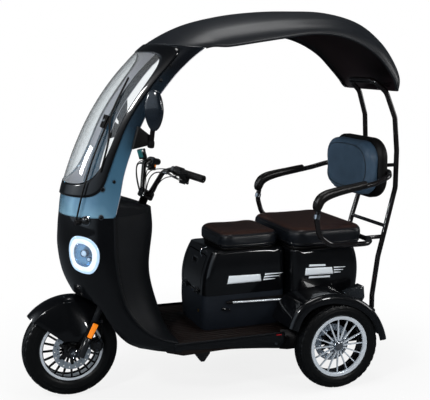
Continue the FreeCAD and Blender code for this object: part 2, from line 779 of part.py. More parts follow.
def make_battery_door(walls):
    """The door in the front wall, on two hinges along its lower edge, with a recessed pull."""
    pin, wall = size("Size.hinge_radius"), size("Size.skin")
    y, z = REAR_AXLE_Y - 596, FLOOR + WAIST + 12
    panel = walls.common(door_prism(0))
    pull_y, pull_z = REAR_AXLE_Y - 576, z + size("Size.door_height") - 36
    cup = fillet_where(block(-34, 34, pull_y - 20, pull_y + 16, pull_z - 13, pull_z + 13), 8, along_y)
    hollow = fillet_where(block(-31, 31, pull_y - 40, pull_y + 13, pull_z - 10, pull_z + 10), 6, along_y)
    outside = moulded_box(front_body_levels())
    inside = moulded_box(inset_levels(front_body_levels(), wall / 2))
    panel = panel.fuse(cup.common(inside)).cut(hollow)
    ears, barrels = [], []
    for x in (-78, 78):
        barrels.append(rod((x - 16, y, z), (x + 16, y, z), pin + 3))
        barrels.append(block(x - 16, x + 16, y, y + 9, z, z + 12).cut(inside))
        ears.append(rod((x - 24, y, z), (x + 24, y, z), pin))
        for end in (x - 24, x + 17):
            ears.append(fused([
                rod((end, y, z), (end + 7, y, z), pin + 3),
                block(end, end + 7, y - 4, y + 9, z - 12, z)]).cut(inside))
    bore = rod((-200, y, z), (200, y, z), pin + 0.1)
    door = fused([panel] + barrels).cut(bore)
    feature("battery_door", door)
    return ears


def make_front_body():
    """Front body under the driver's seat, its battery door, the skirt round its foot and the side strips."""
    skin = size("Size.skin")
    gap = size("Size.seat_gap")
    half = size("Size.box_half_width")
    walls = shell_box(front_body_levels(), skin)
    ears = make_battery_door(walls)
    feature("front_body", fused([walls.cut(door_prism(size("Size.door_gap")))] + ears))
    skirt_levels = from_rear(
        (half - 24, -586, -188, 30, gap), (half - 12, -592, -182, 32, 70), (half - 6, -590, -178, 34, WAIST))
    skirt = shell_box(skirt_levels, skin)
    hole = moulded_box(from_rear((half - 40, -568, -198, 20, 60), (half - 40, -568, -198, 20, WAIST + 10)))
    skirt = skirt.cut(hole)
    feature("lower_skirt", skirt)
    strips = []
    for side in (-1, 1):
        x = side * (half - 12)
        strip = block(min(x, x + side * 12), max(x, x + side * 12), REAR_AXLE_Y - 462, REAR_AXLE_Y - 180,
                      FLOOR + 128, FLOOR + 140)
        strips.append(strip.cut(moulded_box(inset_levels(skirt_levels, -gap))))
    feature("side_strips", Part.makeCompound(strips))
    feature("battery_pack", block(-120, 120, REAR_AXLE_Y - 518, REAR_AXLE_Y - 208, FLOOR + gap, FLOOR + 220))


def rear_body_levels():
    half = size("Size.rear_box_half_width")
    return from_rear(
        (half - 40, -166, 172, 40, 20), (half - 6, -168, 180, 44, 150),
        (half, -172, 176, 44, 320), (half - 4, -172, 162, 44, size("Size.rear_box_height")))


def make_rear_body():
    """Rear body under the passenger seat, between the rear wheels."""
    feature("rear_body", shell_box(rear_body_levels(), size("Size.skin")))


def make_seats():
    """Both seats, each a cushion on its own pan."""
    gap = size("Size.seat_gap")
    thick = size("Size.seat_thickness")
    half = size("Size.box_half_width") - 20
    top = size("Size.box_height") + gap
    feature("front_seat_pan", moulded_box(from_rear(
        (half - 12, -484, -216, 40, top), (half - 6, -490, -210, 44, top + 10))))
    feature("front_seat", moulded_box(from_rear(
        (half - 2, -494, -206, 46, top + 10 + gap), (half + 6, -502, -198, 56, top + 40),
        (half, -496, -204, 54, top + thick - 10), (half - 14, -482, -216, 50, top + thick))))
    base = size("Size.rear_box_height") + gap
    half = size("Size.rear_box_half_width")
    feature("rear_seat_pan", moulded_box(from_rear(
        (half - 14, -166, 186, 50, base), (half, -172, 192, 54, base + 16))))
    feature("rear_seat", moulded_box(from_rear(
        (half + 6, -174, 198, 60, base + 16 + gap), (half + 18, -182, 206, 70, base + 50),
        (half + 14, -178, 202, 70, base + thick + 6), (half - 6, -160, 184, 60, base + thick + 20))))


BACKREST_FRONT, BACKREST_BACK, SHELL_BACK, BACKREST_LOW = 224, 290, 338, 588


def make_backrest():
    """Backrest cushion and the shell behind it, which reaches lower."""
    gap = size("Size.seat_gap")
    half = size("Size.backrest_half_width")
    low = FLOOR + BACKREST_LOW
    high = low + size("Size.backrest_height")
    corner = size("Size.backrest_corner")
    pad_shape = block(-half, half, REAR_AXLE_Y + BACKREST_FRONT, REAR_AXLE_Y + BACKREST_BACK, low, high)
    pad_shape = fillet_where(pad_shape, corner, along_y)
    front = REAR_AXLE_Y + BACKREST_FRONT
    feature("backrest", fillet_where(pad_shape, 24, lambda middle, along: middle.y < front + 1))
    rear = REAR_AXLE_Y + SHELL_BACK
    shell = block(-half - 7, half + 7, REAR_AXLE_Y + BACKREST_BACK + gap, rear, low - 14, high + 7)
    shell = fillet_where(shell, corner + 4, along_y)
    feature("backrest_shell", fillet_where(shell, 24, lambda middle, along: middle.y > rear - 0.5))


LOOP_REAR = 246


def rail_route():
    """Left half of the armrest tube, from behind the backrest round the arm to the loop behind the seat."""
    behind = SHELL_BACK + size("Size.seat_gap + Size.rail_radius")
    side = size("Size.rear_box_half_width")
    return at_rear(
        (0, behind, 706), (200, behind, 706), (side + 66, 290, 706), (side + 90, 200, 700),
        (side + 90, 138, 688), (side + 97, -80, 602), (side + 98, -100, 522), (side + 90, -82, 437),
        (side + 72, -8, 390), (side + 61, 110, 382), (side + 58, 190, 382), (side - 15, LOOP_REAR, 382),
        (0, LOOP_REAR, 382))


def make_seat_rail():
    """One bent tube: both armrests, the rails beside the rear seat and the loops behind both."""
    left = rail_route()
    radius, bend = size("Size.rail_radius"), 70
    half = tube(left, radius, bend)
    feature("seat_rail", fused([half, half.mirror(Vector(0, 0, 0), Vector(1, 0, 0))]))
    clear = tube(left, radius + size("Size.seat_gap"), bend)
    over = [between(left[3], left[4], 0.7), left[4], left[5], between(left[5], left[6], 0.75)]
    pad_shape = tube(over, size("Size.pad_radius"), bend).cut(clear)
    feature("armrest_pads", Part.makeCompound([pad_shape, pad_shape.mirror(Vector(0, 0, 0), Vector(1, 0, 0))]))


HOOP_RISE = 0.7805


def post_route():
    """The roof post on the left, from the hoop under the roof down to the subframe."""
    top, low = size("Size.hoop_spread"), size("Size.post_spread")
    y = REAR_AXLE_Y
    return [
        (top - 6, y + 302, rise_z(HOOP_RISE)), (top + 2, y + 368, rise_z(0.7389)),
        (top + 14, y + 412, rise_z(0.6558)),
        (top + 20, y + 424, rise_z(0.5467)), (low - 10, y + 418, FLOOR + 622), (low, y + 364, FLOOR + 433),
        (low, y + 325, FLOOR + 282), (low, y + 298, FLOOR + 90), (low, y + 298, FLOOR + 26.3)]


def make_roof_posts():
    """Two bowed posts, joined by the hoop under the roof and the crossbar, with their brackets."""
    radius, gap = size("Size.post_radius"), size("Size.seat_gap")
    posts = tube(both_sides(post_route()), radius, 60)
    low = size("Size.post_spread")
    crossbar = rod(*at_rear((-low, 364, 433), (low, 364, 433)), 9)
    brackets = []
    for side in (-1, 1):
        brackets.append(rod(*at_rear((side * 150, SHELL_BACK + gap, 732), (side * 150, 424, 732)), 9))
        brackets.append(rod(*at_rear((side * low, LOOP_REAR, 382), (side * low, 350, 382)), 10))
    rail = tube(both_sides(rail_route()[1:-1]), size("Size.rail_radius") + gap, 70)
    loop = tube(both_sides(rail_route()[::-1][1:-1]), size("Size.rail_radius") + gap, 70)
    feature("roof_posts", fused([posts, crossbar] + brackets).cut(loop).cut(rail))
    plate_top = rise_z(HOOP_RISE) - radius - gap
    plate = block(-118, 118, REAR_AXLE_Y + 292, REAR_AXLE_Y + 418, plate_top - 4, plate_top)
    plate = fillet_where(plate, 24, along_z)
    hole_y = REAR_AXLE_Y + 350
    spacing, bolt = size("Size.plate_hole_spacing"), size("Size.plate_hole_radius")
    for x, hole in ((-spacing / 2, bolt), (0, 12), (spacing / 2, bolt)):
        plate = plate.cut(rod((x, hole_y, plate_top - 10), (x, hole_y, plate_top + 10), hole))
    clear = tube(both_sides(post_route()), radius + gap, 60)
    roof_room = skin_band(ROOF_STATIONS[-4:], -30, size("Size.skin") + gap)
    feature("roof_plate", plate.cut(clear).cut(roof_room))


make_apron()
make_headlamps()
make_windscreen()
make_roof()
make_column()
make_floorboard()
make_chassis()
make_front_body()
make_rear_body()
make_seats()
make_backrest()
make_seat_rail()
make_roof_posts()


def make_wheel(name, half_width, tyre_radius, tyre_width, hub_reach, cap_reach, spokes):
    """Tyre and spoked rim, turned about the wheel's own X axis."""
    tyre = new_body(name + "_tyre")
    profile = sketch_on(tyre, "XZ_Plane")
    bead, shoulder, depth = "Size.rim_radius + 4.5", "%s / 2 - 5" % tyre_width, 12
    tread = "%s - %d" % (tyre_radius, depth)
    crown = "((%s)^2 + %d^2) / %d" % (shoulder, depth, 2 * depth)
    swell = "(%s / 4 - %s / 2 + 4.5)" % (tyre_width, half_width)
    wall = "((%s - (%s))^2 / 4 + %s^2) / (2 * %s)" % (tread, bead, swell, swell)
    outline(profile, [
        ("%s - 4" % half_width, "Size.rim_radius + Size.seat_gap"), ("%s - 4" % half_width, bead, wall),
        (shoulder, tread, crown), ("-(%s)" % shoulder, tread, wall),
        ("-%s + 4" % half_width, bead), ("-%s + 4" % half_width, "Size.rim_radius + Size.seat_gap")])
    revolve(tyre, profile)
    rim = new_body(name + "_rim")
    barrel = sketch_on(rim, "XZ_Plane")
    outline(barrel, [
        ("-" + half_width, "Size.rim_radius + 4"), ("-%s + 3.6" % half_width, "Size.rim_radius + 4"),
        ("-%s + 3.6" % half_width, "Size.rim_radius"), ("%s - 3.6" % half_width, "Size.rim_radius"),
        ("%s - 3.6" % half_width, "Size.rim_radius + 4"), (half_width, "Size.rim_radius + 4"),
        (half_width, "Size.rim_radius - Size.rim_wall - 6"),
        ("%s - 12" % half_width, "Size.rim_radius - Size.rim_wall - 6"),
        ("%s - 16" % half_width, "Size.rim_radius - Size.rim_wall"),
        ("-%s" % half_width, "Size.rim_radius - Size.rim_wall")])
    revolve(rim, barrel)
    hub = sketch_on(rim, "XZ_Plane")
    bore, sleeve = "Size.axle_radius + Size.axle_clearance", "Size.hub_radius - 12"
    outline(hub, [
        ("-" + hub_reach, bore), ("-" + hub_reach, sleeve), (-30, sleeve), (-26, "Size.hub_radius"),
        ("%s - 22" % half_width, "Size.hub_radius"), ("%s - 4" % half_width, sleeve), (cap_reach, sleeve),
        (cap_reach, bore)])
    revolve(rim, hub)
    spoke = sketch_on(rim, "YZ_Plane", "%s - 22" % half_width)
    outline(spoke, [
        (-6, "Size.hub_radius - 8"), (6, "Size.hub_radius - 8"),
        (4, "Size.rim_radius - Size.rim_wall + 1"), (-4, "Size.rim_radius - Size.rim_wall + 1")])
    first = pad(rim, spoke, "10")
    repeat_round(rim, first, spokes)
    return tyre, rim


def make_brake_disc(name, offset):
    """A flat ring with a row of holes, seated on the hub's sleeve."""
    disc = new_body(name + "_disc")
    ring = sketch_on(disc, "YZ_Plane", offset)
    circle(ring, "Size.disc_radius")
    circle(ring, "Size.hub_radius - 12 + Size.seat_gap")
    pad(disc, ring, "Size.disc_wall")
    slot = sketch_on(disc, "YZ_Plane", offset)
    circle(slot, "7", "0", "Size.disc_radius - 16")
    first = pocket(disc, slot, "3 * Size.disc_wall", midplane=True)
    repeat_round(disc, first, "Size.disc_holes")
    return disc


def make_wheels():
    """Three wheels, each with its brake disc, and the places where they stand."""
    pieces = make_wheel(
        "front", "36", "Size.front_tyre_radius", "Size.front_tyre_width", "68", "68", "Size.front_spokes")
    for piece in pieces + (make_brake_disc("front", "42"),):
        move(piece, "0", "Size.rear_axle_y - Size.wheelbase", "Size.front_tyre_radius")
    for side, name in ((-1, "rear_right"), (1, "rear_left")):
        pieces = make_wheel(
            name, "35", "Size.rear_tyre_radius", "Size.rear_tyre_width", "48", "33", "Size.rear_spokes")
        for piece in pieces + (make_brake_disc(name, "-40"),):
            move(piece, "%d * Size.rear_track / 2" % side, "Size.rear_axle_y", "Size.rear_tyre_radius")
            if side < 0:
                piece.Placement = Placement(piece.Placement.Base, Rotation(Vector(0, 0, 1), 180))


def make_rear_axle():
    """Axle tube with its motor and trailing arms, and the two shocks."""
    gap = size("Size.seat_gap")
    z = size("Size.rear_tyre_radius")
    y = REAR_AXLE_Y
    end = size("Size.rear_track") / 2
    casing = rod((-end + 62, y, z), (end - 62, y, z), 22)
    motor = rod((-MOTOR_HALF_WIDTH, y, z), (MOTOR_HALF_WIDTH, y, z), 72)
    shaft = rod((-end - 30, y, z), (end + 30, y, z), size("Size.axle_radius"))
    low = FLOOR - size("Size.floor_depth") - 13
    pivot = outrigger_y(OUTRIGGER_SHARES[-1]) + 15 + gap
    parts = [casing, motor, shaft]
    shocks = []
    for side in (-1, 1):
        x = side * ARM_X
        parts.append(tube([(x, pivot, low), (x, pivot + 30, low), (x, y - 90, z + 4), (x, y, z)], 12, 60))
        parts.append(block(x - 18, x + 18, y - 8, y + 32, z, z + 28))
        shocks.append(rod((x, y + 12, z + 28 + gap), (x, y + 12, FLOOR + 55 - gap), 20))
    feature("rear_axle", fused(parts))
    feature("shocks", Part.makeCompound(shocks))


# The rear mudguard's outline round the axle: degrees forward of upright, and the room over fender_room.
FENDER_OUTLINE = [
    (66, 36), (52, 44), (38, 42), (20, 22), (0, 3), (-25, -8), (-50, -8), (-72, -2), (-88, 8)]
FENDER_LIP, FENDER_CORNER = 44, 26


def fender_solid(shrink, inner_x, outer_x):
    """The space under the mudguard's outline, as a slice from one X to another."""
    rim = []
    for degrees, room in FENDER_OUTLINE:
        turn = math.radians(degrees)
        reach = size("Size.rear_tyre_radius + Size.fender_room") + room - shrink
        rim.append(Vector(inner_x, -reach * math.sin(turn), reach * math.cos(turn)))
    curve = smooth_edge(rim)
    centre = Vector(inner_x, 0, 0)
    return Part.Face(Part.Wire([curve, line(rim[-1], centre), line(centre, rim[0])])).extrude(
        Vector(outer_x - inner_x, 0, 0))


def fender_rounded(shrink, inner_x, outer_x, radius):
    """That slice with its outer edge rounded."""
    solid = fender_solid(shrink, inner_x, outer_x)
    edge = max(
        (edge for edge in solid.Edges if abs(edge.valueAt(edge.FirstParameter).x - outer_x) < 0.01
         and abs(edge.valueAt(edge.LastParameter).x - outer_x) < 0.01), key=lambda edge: edge.Length)
    return solid.makeFillet(radius, [edge])


def make_rear_fenders():
    """One mudguard over each rear wheel, against the rear body."""
    wall = 3
    inner = size("Size.rear_box_half_width") - 40
    outer = size("(Size.rear_track + Size.rear_tyre_width) / 2") + 5
    shape = fender_rounded(0, inner, outer, FENDER_CORNER)
    shape = shape.cut(fender_rounded(wall, inner - 1, outer - wall, FENDER_CORNER - wall))
    shape = shape.cut(fender_solid(FENDER_LIP, inner - 1, outer + 1))
    shape.translate(Vector(0, REAR_AXLE_Y, size("Size.rear_tyre_radius")))
    shape = shape.cut(moulded_box(inset_levels(rear_body_levels(), -size("Size.seat_gap"))))
    shape = max(shape.Solids, key=lambda solid: solid.Volume)
    feature("rear_fenders", Part.makeCompound([shape, shape.mirror(Vector(0, 0, 0), Vector(1, 0, 0))]))


def make_tail_lamps():
    """A wedge-shaped lamp on each rear mudguard."""
    gap = size("Size.seat_gap")
    outline_points = [(62, 228), (158, 262), (164, 204), (150, 180), (62, 214)]
    centre = Vector(0, REAR_AXLE_Y, size("Size.rear_tyre_radius"))
    corners = [Vector(-26, y, z) for y, z in outline_points]
    lamp = Part.Face(Part.makePolygon(corners + corners[:1])).extrude(Vector(52, 0, 0))
    lamp = fillet_where(lamp, 6, along_x)
    middle = size("Size.rear_box_half_width") + 60
    lamp.translate(Vector(middle, 0, 0))
    lamp = lamp.cut(fender_solid(-gap, middle - 40, middle + 40))
    lamp = max(lamp.Solids, key=lambda solid: solid.Volume)
    lamp.translate(centre)
    feature("tail_lamps", Part.makeCompound([lamp, lamp.mirror(Vector(0, 0, 0), Vector(1, 0, 0))]))


def make_arch_liner():
    """The splash guard behind the front wheel, held on the down tube."""
    wall = 3
    front = FRONT_AXLE_Y + size("Size.front_tyre_radius") + 43
    low, high = FLOOR - 50, FLOOR + 190
    half = size("Size.arch_half_width") - 18
    plate = fillet_where(block(-half, half, front, front + wall, low, high), 40, along_y)
    pocket_in = block(-half + 22, half - 22, front - 1, front + 1.2, low + 24, high - 24)
    pocket_in = fillet_where(pocket_in, 26, along_y)
    holder = []
    for above in (66, 150):
        holder.append(rod((0, front + wall - 0.5, FLOOR + above), (0, FRONT_AXLE_Y + 318, FLOOR + above), 9))
    tube_room = tube(down_tube_route(), size("Size.down_tube_radius") + size("Size.seat_gap"), 120)
    feature("arch_liner", fused([plate.cut(pocket_in)] + holder).cut(tube_room))


def make_fork():
    """Steering tube, crown and two legs, with the axle in its lugs."""
    spread = size("Size.fork_spread")
    upper, slider = size("Size.fork_tube_radius"), size("Size.fork_slider_radius")
    offset = size("Size.fork_offset")
    steerer = Part.makeCylinder(size("Size.steerer_radius"), 424, on_steering_axis(520), AXIS)
    crown = block(-spread - 22, spread + 22, -offset - 24, 24, 0, 30)
    crown = fillet_where(crown, 12, along_z)
    crown.Placement = Placement(on_steering_axis(505), ACROSS_AXIS)
    parts = [steerer, crown]
    axle = FRONT_AXLE
    for side in (-1, 1):
        top = on_steering_axis(522, offset, side * spread)
        middle = on_steering_axis(300, offset, side * spread)
        foot = on_steering_axis(190, offset, side * spread)
        parts.append(rod(middle, top, upper))
        parts.append(rod(foot, middle + AXIS * 30, slider))
        eye = Vector(side * spread - 14, axle.y, axle.z)
        parts.append(Part.makeCylinder(20, 28, eye, Vector(1, 0, 0)))
        x = side * spread
        parts.append(block(x - 8, x + 8, axle.y, axle.y + 40, axle.z - 15, axle.z + 15))
    bore = Part.makeCylinder(size("Size.axle_radius") + 0.05, 300, axle - Vector(150, 0, 0), Vector(1, 0, 0))
    feature("fork", fused(parts).cut(bore))
    reach = spread + 14.5
    shaft = rod((-reach, axle.y, axle.z), (reach, axle.y, axle.z), size("Size.axle_radius"))
    tip = reach + size("Size.axle_end_length")
    ends = rod((-tip, axle.y, axle.z), (tip, axle.y, axle.z), size("Size.axle_end_radius"))
    feature("front_axle", fused([shaft, ends]))


def side_plate(x, wall, reach):
    """A sector of sheet from the mudguard's edge down towards the axle."""
    rim = []
    for degrees in (48, 5, -38):
        turn = math.radians(degrees)
        rim.append(Vector(x, -reach * math.sin(turn), reach * math.cos(turn)))
    low = [Vector(x, 56, 24), Vector(x, 16, 44), Vector(x, -36, 46)]
    edges = [
        Part.Arc(rim[0], rim[1], rim[2]).toShape(), line(rim[2], low[0]),
        Part.Arc(low[0], low[1], low[2]).toShape(), line(low[2], rim[0])]
    return Part.Face(Part.Wire(edges)).extrude(Vector(wall, 0, 0))


def make_front_fender():
    """The mudguard that turns with the fork: a crowned wall with a side plate down to the axle."""
    half, wall = size("Size.front_fender_half_width"), 3
    crown = size("Size.front_tyre_radius + Size.fender_room") - 8
    shoulder = crown - 24
    rim_edge = shoulder - 8
    outer = Part.Arc(Vector(-half, 0, shoulder), Vector(0, 0, crown), Vector(half, 0, shoulder))
    inner = Part.Arc(
        Vector(half - wall, 0, shoulder - 1), Vector(0, 0, crown - wall), Vector(wall - half, 0, shoulder - 1))
    face = Part.Face(Part.Wire([
        outer.toShape(), line((half, 0, shoulder), (half, 0, rim_edge)),
        line((half, 0, rim_edge), (half - wall, 0, rim_edge)),
        line((half - wall, 0, rim_edge), (half - wall, 0, shoulder - 1)), inner.toShape(),
        line((wall - half, 0, shoulder - 1), (wall - half, 0, rim_edge)),
        line((wall - half, 0, rim_edge), (-half, 0, rim_edge)),
        line((-half, 0, rim_edge), (-half, 0, shoulder))]))
    face.rotate(Vector(0, 0, 0), Vector(1, 0, 0), -38)
    shape = fused([
        face.revolve(Vector(0, 0, 0), Vector(1, 0, 0), 87),
        side_plate(half - wall, wall, shoulder - 2), side_plate(-half, wall, shoulder - 2)])
    shape.translate(FRONT_AXLE)
    leg = size("Size.fork_spread - Size.fork_slider_radius - Size.seat_gap")
    bolts = []
    for side in (-1, 1):
        hold = on_steering_axis(FRONT_AXLE.z + 80, size("Size.fork_offset"))
        bolts.append(rod((side * (half - wall), hold.y, hold.z), (side * leg, hold.y, hold.z), 8))
    feature("front_fender", fused([shape] + bolts))


def bar_route():
    """The handlebar on the left, from the clamp to the end of the grip."""
    base = on_steering_axis(910)
    rise = Vector(150, base.y + 37, base.z + 120)
    bend = Vector(172, base.y + 71, base.z + 133)
    end = Vector(size("Size.bar_half_width"), base.y + 158, base.z + 106)
    return [(34, base.y, base.z), (70, base.y + 4, base.z + 22), tuple(rise), tuple(bend), tuple(end)]


def make_handlebar():
    """High handlebar with its clamp, grips, switch housings and levers."""
    radius = size("Size.bar_radius")
    gap = size("Size.seat_gap")
    left = bar_route()
    clamp = block(-48, 48, -26, 26, -20, 20)
    clamp = clamp.makeFillet(10, clamp.Edges)
    clamp.Placement = Placement(on_steering_axis(910), ACROSS_AXIS)
    stem = Part.makeCylinder(19, 60, on_steering_axis(872), AXIS)
    bore = Part.makeCylinder(size("Size.steerer_radius") + gap, 760, on_steering_axis(400), AXIS)
    end, start = Vector(*left[-1]), Vector(*left[-2])
    along = (end - start).normalize()
    end_bore = rod(end - along * size("Size.bar_end_depth"), end + along, size("Size.bar_end_radius"))
    bar = fused([tube(both_sides(left), radius, 40), clamp, stem]).cut(bore)
    feature("handlebar", bar.cut(end_bore).cut(end_bore.mirror(Vector(0, 0, 0), Vector(1, 0, 0))))
    room = tube(both_sides(left), radius + gap, 40)
    inner = end - along * size("Size.grip_length")
    grip = rod(inner, end + along * 6, size("Size.grip_radius"))
    grip = grip.cut(rod(inner - along, end + along, radius + gap))
    grip = grip.cut(rod(end, end + along * 8, size("Size.bar_end_radius") + 1))
    housing = rod(inner - along * 43, inner - along, 21).cut(room)
    pivot = inner - along * 57
    hinge = pivot + Vector(0, -36, -6)
    lever = fused([
        rod(pivot - along * 4, pivot + along * 12, 16), rod(hinge, pivot, 7),
        tube([tuple(hinge), tuple(pivot + along * 60 + Vector(0, -46, -14)),
              tuple(pivot + along * 140 + Vector(0, -40, -26))], 5, 60)]).cut(room)
    for label, left_piece in (("grips", grip), ("switch_housings", housing), ("brake_levers", lever)):
        right_piece = left_piece.mirror(Vector(0, 0, 0), Vector(1, 0, 0))
        feature(label, Part.makeCompound([left_piece, right_piece]))


def make_mirrors():
    """Two mirrors on short stems, each clipped over the windscreen frame's edge."""
    gap = size("Size.seat_gap")
    edge = size("Size.canopy_half_width") * FRAME_STATIONS[4][2]
    head = block(-43, 43, -17, 17, -86, 86)
    head = fillet_where(head, 32, along_y)
    head = head.makeFillet(12, head.Edges)
    middle = Vector(edge + 54, reach_y(0.2803), rise_z(0.7048))
    head.translate(middle)
    stem = rod((edge + 29, reach_y(0.2727), rise_z(0.5999)), (edge + 47, middle.y - 2, middle.z - 72), 12)
    corners = [
        Vector(edge - 15, reach_y(reach), rise_z(rise))
        for reach, rise in ((0.1998, 0.5917), (0.2803, 0.6067), (0.2803, 0.6258), (0.2269, 0.6626))]
    clip = Part.Face(Part.makePolygon(corners + corners[:1])).extrude(Vector(50, 0, 0))
    skin_room = skin_band(
        FRAME_STATIONS, -gap - size("Size.screen_wall"), size("Size.skin + Size.seat_gap"))
    clip = clip.cut(skin_room)
    clip = max(clip.Solids, key=lambda solid: solid.CenterOfMass.x)
    left = fused([head, stem, clip])
    feature("mirrors", Part.makeCompound([left, left.mirror(Vector(0, 0, 0), Vector(1, 0, 0))]))


def skin_path(stations, points):
    """A smooth path over the skin: (across, rise, lift off the skin) at each point."""
    path = []
    for across, rise, lift in points:
        point = skin_point(stations, max(abs(across), 1), rise, lift)
        path.append(Vector(math.copysign(point.x, across), point.y, point.z))
    return Part.Wire(smooth_edge(path))


def swept_rod(path, radius):
    """A round bar along a smooth path."""
    edge = path.Edges[0]
    ring = Part.Circle(edge.valueAt(edge.FirstParameter), edge.tangentAt(edge.FirstParameter), radius)
    return path.makePipeShell([Part.Wire(ring.toShape())], True, True)


def make_wiper():
    """Wiper arm and blade on the clear screen, with the pivot under the screen's foot."""
    gap = size("Size.seat_gap")
    cover = gap + size("Size.screen_wall")
    blade_lift = cover + 8
    pivot_across, pivot_rise = 150, 0.3763
    foot = skin_point(APRON_STATIONS, pivot_across, pivot_rise, 16)
    pivot = rod(foot, foot + Vector(-8, 40, 0), 13).cut(skin_band(APRON_STATIONS, -gap, 60))
    stations = APRON_STATIONS + FRAME_STATIONS[1:]
    arm = swept_rod(skin_path(stations, [
        (pivot_across, pivot_rise, 12), (158, 0.43, 16 + cover), (160, 0.54, 18 + cover),
        (157, 0.6816, 2 + blade_lift)]), 4)
    blade = swept_rod(skin_path(stations, [
        (191, 0.5253, blade_lift), (187, 0.5948, blade_lift), (176, 0.6400, blade_lift),
        (158, 0.6816, blade_lift), (143, 0.735, blade_lift), (122, 0.7973, blade_lift)]), 4.5)
    feature("wiper", fused([pivot, arm, blade]))


make_wheels()
make_rear_axle()
make_rear_fenders()
make_tail_lamps()
make_arch_liner()
make_fork()
make_front_fender()
make_handlebar()
make_mirrors()
make_wiper()

doc.recompute()
failed = [item.Label for item in doc.Objects if "Invalid" in item.State or "Error" in item.State]
if failed:
    raise RuntimeError("Failed objects: " + ", ".join(failed))
for piece in subparts:
    if piece.Shape.isNull() or not piece.Shape.isValid() or not piece.Shape.Solids:
        raise RuntimeError("No sound shape: " + piece.Label)
os.makedirs("parts", exist_ok=True)
for piece in subparts:
    piece.Shape.exportStep("parts/%s.step" % piece.Label)
    print(piece.Label, len(piece.Shape.Solids), round(piece.Shape.Volume))
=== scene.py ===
"""Looks of a three-wheeled electric scooter with a windscreen and an arched roof, round its CAD frame."""

import json
import math

import bmesh
import bpy
from mathutils import Matrix, Vector
from mathutils.bvhtree import BVHTree


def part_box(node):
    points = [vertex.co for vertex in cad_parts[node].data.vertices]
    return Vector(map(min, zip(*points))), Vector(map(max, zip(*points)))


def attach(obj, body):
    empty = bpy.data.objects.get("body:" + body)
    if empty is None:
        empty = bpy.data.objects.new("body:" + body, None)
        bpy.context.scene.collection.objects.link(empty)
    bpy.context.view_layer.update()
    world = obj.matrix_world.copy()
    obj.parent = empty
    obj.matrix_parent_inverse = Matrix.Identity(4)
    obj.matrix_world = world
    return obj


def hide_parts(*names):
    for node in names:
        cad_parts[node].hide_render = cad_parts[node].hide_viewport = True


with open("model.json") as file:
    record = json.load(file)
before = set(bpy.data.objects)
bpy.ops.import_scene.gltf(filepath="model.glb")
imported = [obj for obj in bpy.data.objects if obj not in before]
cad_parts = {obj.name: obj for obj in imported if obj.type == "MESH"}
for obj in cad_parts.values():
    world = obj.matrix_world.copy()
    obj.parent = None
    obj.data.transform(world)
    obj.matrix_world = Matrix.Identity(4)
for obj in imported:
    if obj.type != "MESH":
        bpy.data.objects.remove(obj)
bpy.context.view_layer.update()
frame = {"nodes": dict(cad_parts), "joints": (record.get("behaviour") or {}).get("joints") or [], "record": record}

bl_info = {
    "name": "Canopy Scooter",
    "version": (1, 0, 0),
    "blender": (4, 5, 0),
    "location": "View3D > Sidebar > Scooter",
    "description": "Builds the panels, seats, wheels and fittings of a canopy scooter",
    "category": "Object",
}

JOINTS = {joint["name"]: joint for joint in frame["joints"]}
FRONT_AXLE = Vector(JOINTS["front_wheel_spin"]["pos_m"])
REAR_AXLE = Vector(JOINTS["rear_left_wheel_spin"]["pos_m"])
STEER_POINT = Vector(JOINTS["steering"]["pos_m"])
STEER_AXIS = Vector(JOINTS["steering"]["axis"]).normalized()
WHEELBASE = REAR_AXLE.y - FRONT_AXLE.y
# Top of the floorboard, the roof's top above it, and half the roof's greatest width.
FLOOR = 0.278
RISE = 1.467
CANOPY = 0.300
MM = 0.001
X_AXIS, Y_AXIS, Z_AXIS = Vector((1, 0, 0)), Vector((0, 1, 0)), Vector((0, 0, 1))
SIDES = ((-1, "right"), (1, "left"))


def linear_colour(code):
    """An sRGB hex code as the linear values that a shader takes; a colour that is linear already stays."""
    if not isinstance(code, str):
        return (*code, 1.0)
    channels = [int(code[i:i + 2], 16) / 255 for i in (1, 3, 5)]
    return (*[c / 12.92 if c <= 0.04045 else ((c + 0.055) / 1.055) ** 2.4 for c in channels], 1.0)


class ScooterSizes(bpy.types.PropertyGroup):
    wall: bpy.props.FloatProperty(
        name="Panel wall", description="Thickness of the moulded panels", default=0.004, unit="LENGTH")
    trim_radius: bpy.props.FloatProperty(
        name="Edge trim", description="Radius of the bead along the leg shield's rim", default=0.007,
        unit="LENGTH")
    tread_depth: bpy.props.FloatProperty(
        name="Tread depth", description="Depth of the tyres' grooves", default=0.0035, unit="LENGTH")
    cushion_swell: bpy.props.FloatProperty(
        name="Cushion swell", description="How much of its greatest swell each cushion keeps", default=1.0,
        min=0.0,
        max=2.0, subtype="FACTOR")


def panel_colour(name, description, code):
    """A colour property whose default is an sRGB hex code."""
    return bpy.props.FloatVectorProperty(
        name=name, description=description, subtype="COLOR", default=linear_colour(code)[:3])


class ScooterColours(bpy.types.PropertyGroup):
    body: panel_colour("Body", "Lacquered body panels", "#040507")
    body_tone: panel_colour("Body, second tone", "Soft patches in the lacquer", "#08090C")
    roof: panel_colour("Roof", "Satin roof", "#0E1115")
    roof_tone: panel_colour("Roof, second tone", "Soft patches on the roof", "#14181E")


def add_node(material, kind, inputs=None, **settings):
    """A shader node with its settings; an input is a value or another node's output socket."""
    node = material.node_tree.nodes.new(kind)
    for name, value in settings.items():
        setattr(node, name, value)
    for name, value in (inputs or {}).items():
        if isinstance(value, bpy.types.NodeSocket):
            material.node_tree.links.new(value, node.inputs[name])
        else:
            node.inputs[name].default_value = value
    return node


def new_material(name):
    """An empty node material."""
    material = bpy.data.materials.new(name)
    material.use_nodes = True
    material.node_tree.nodes.clear()
    return material


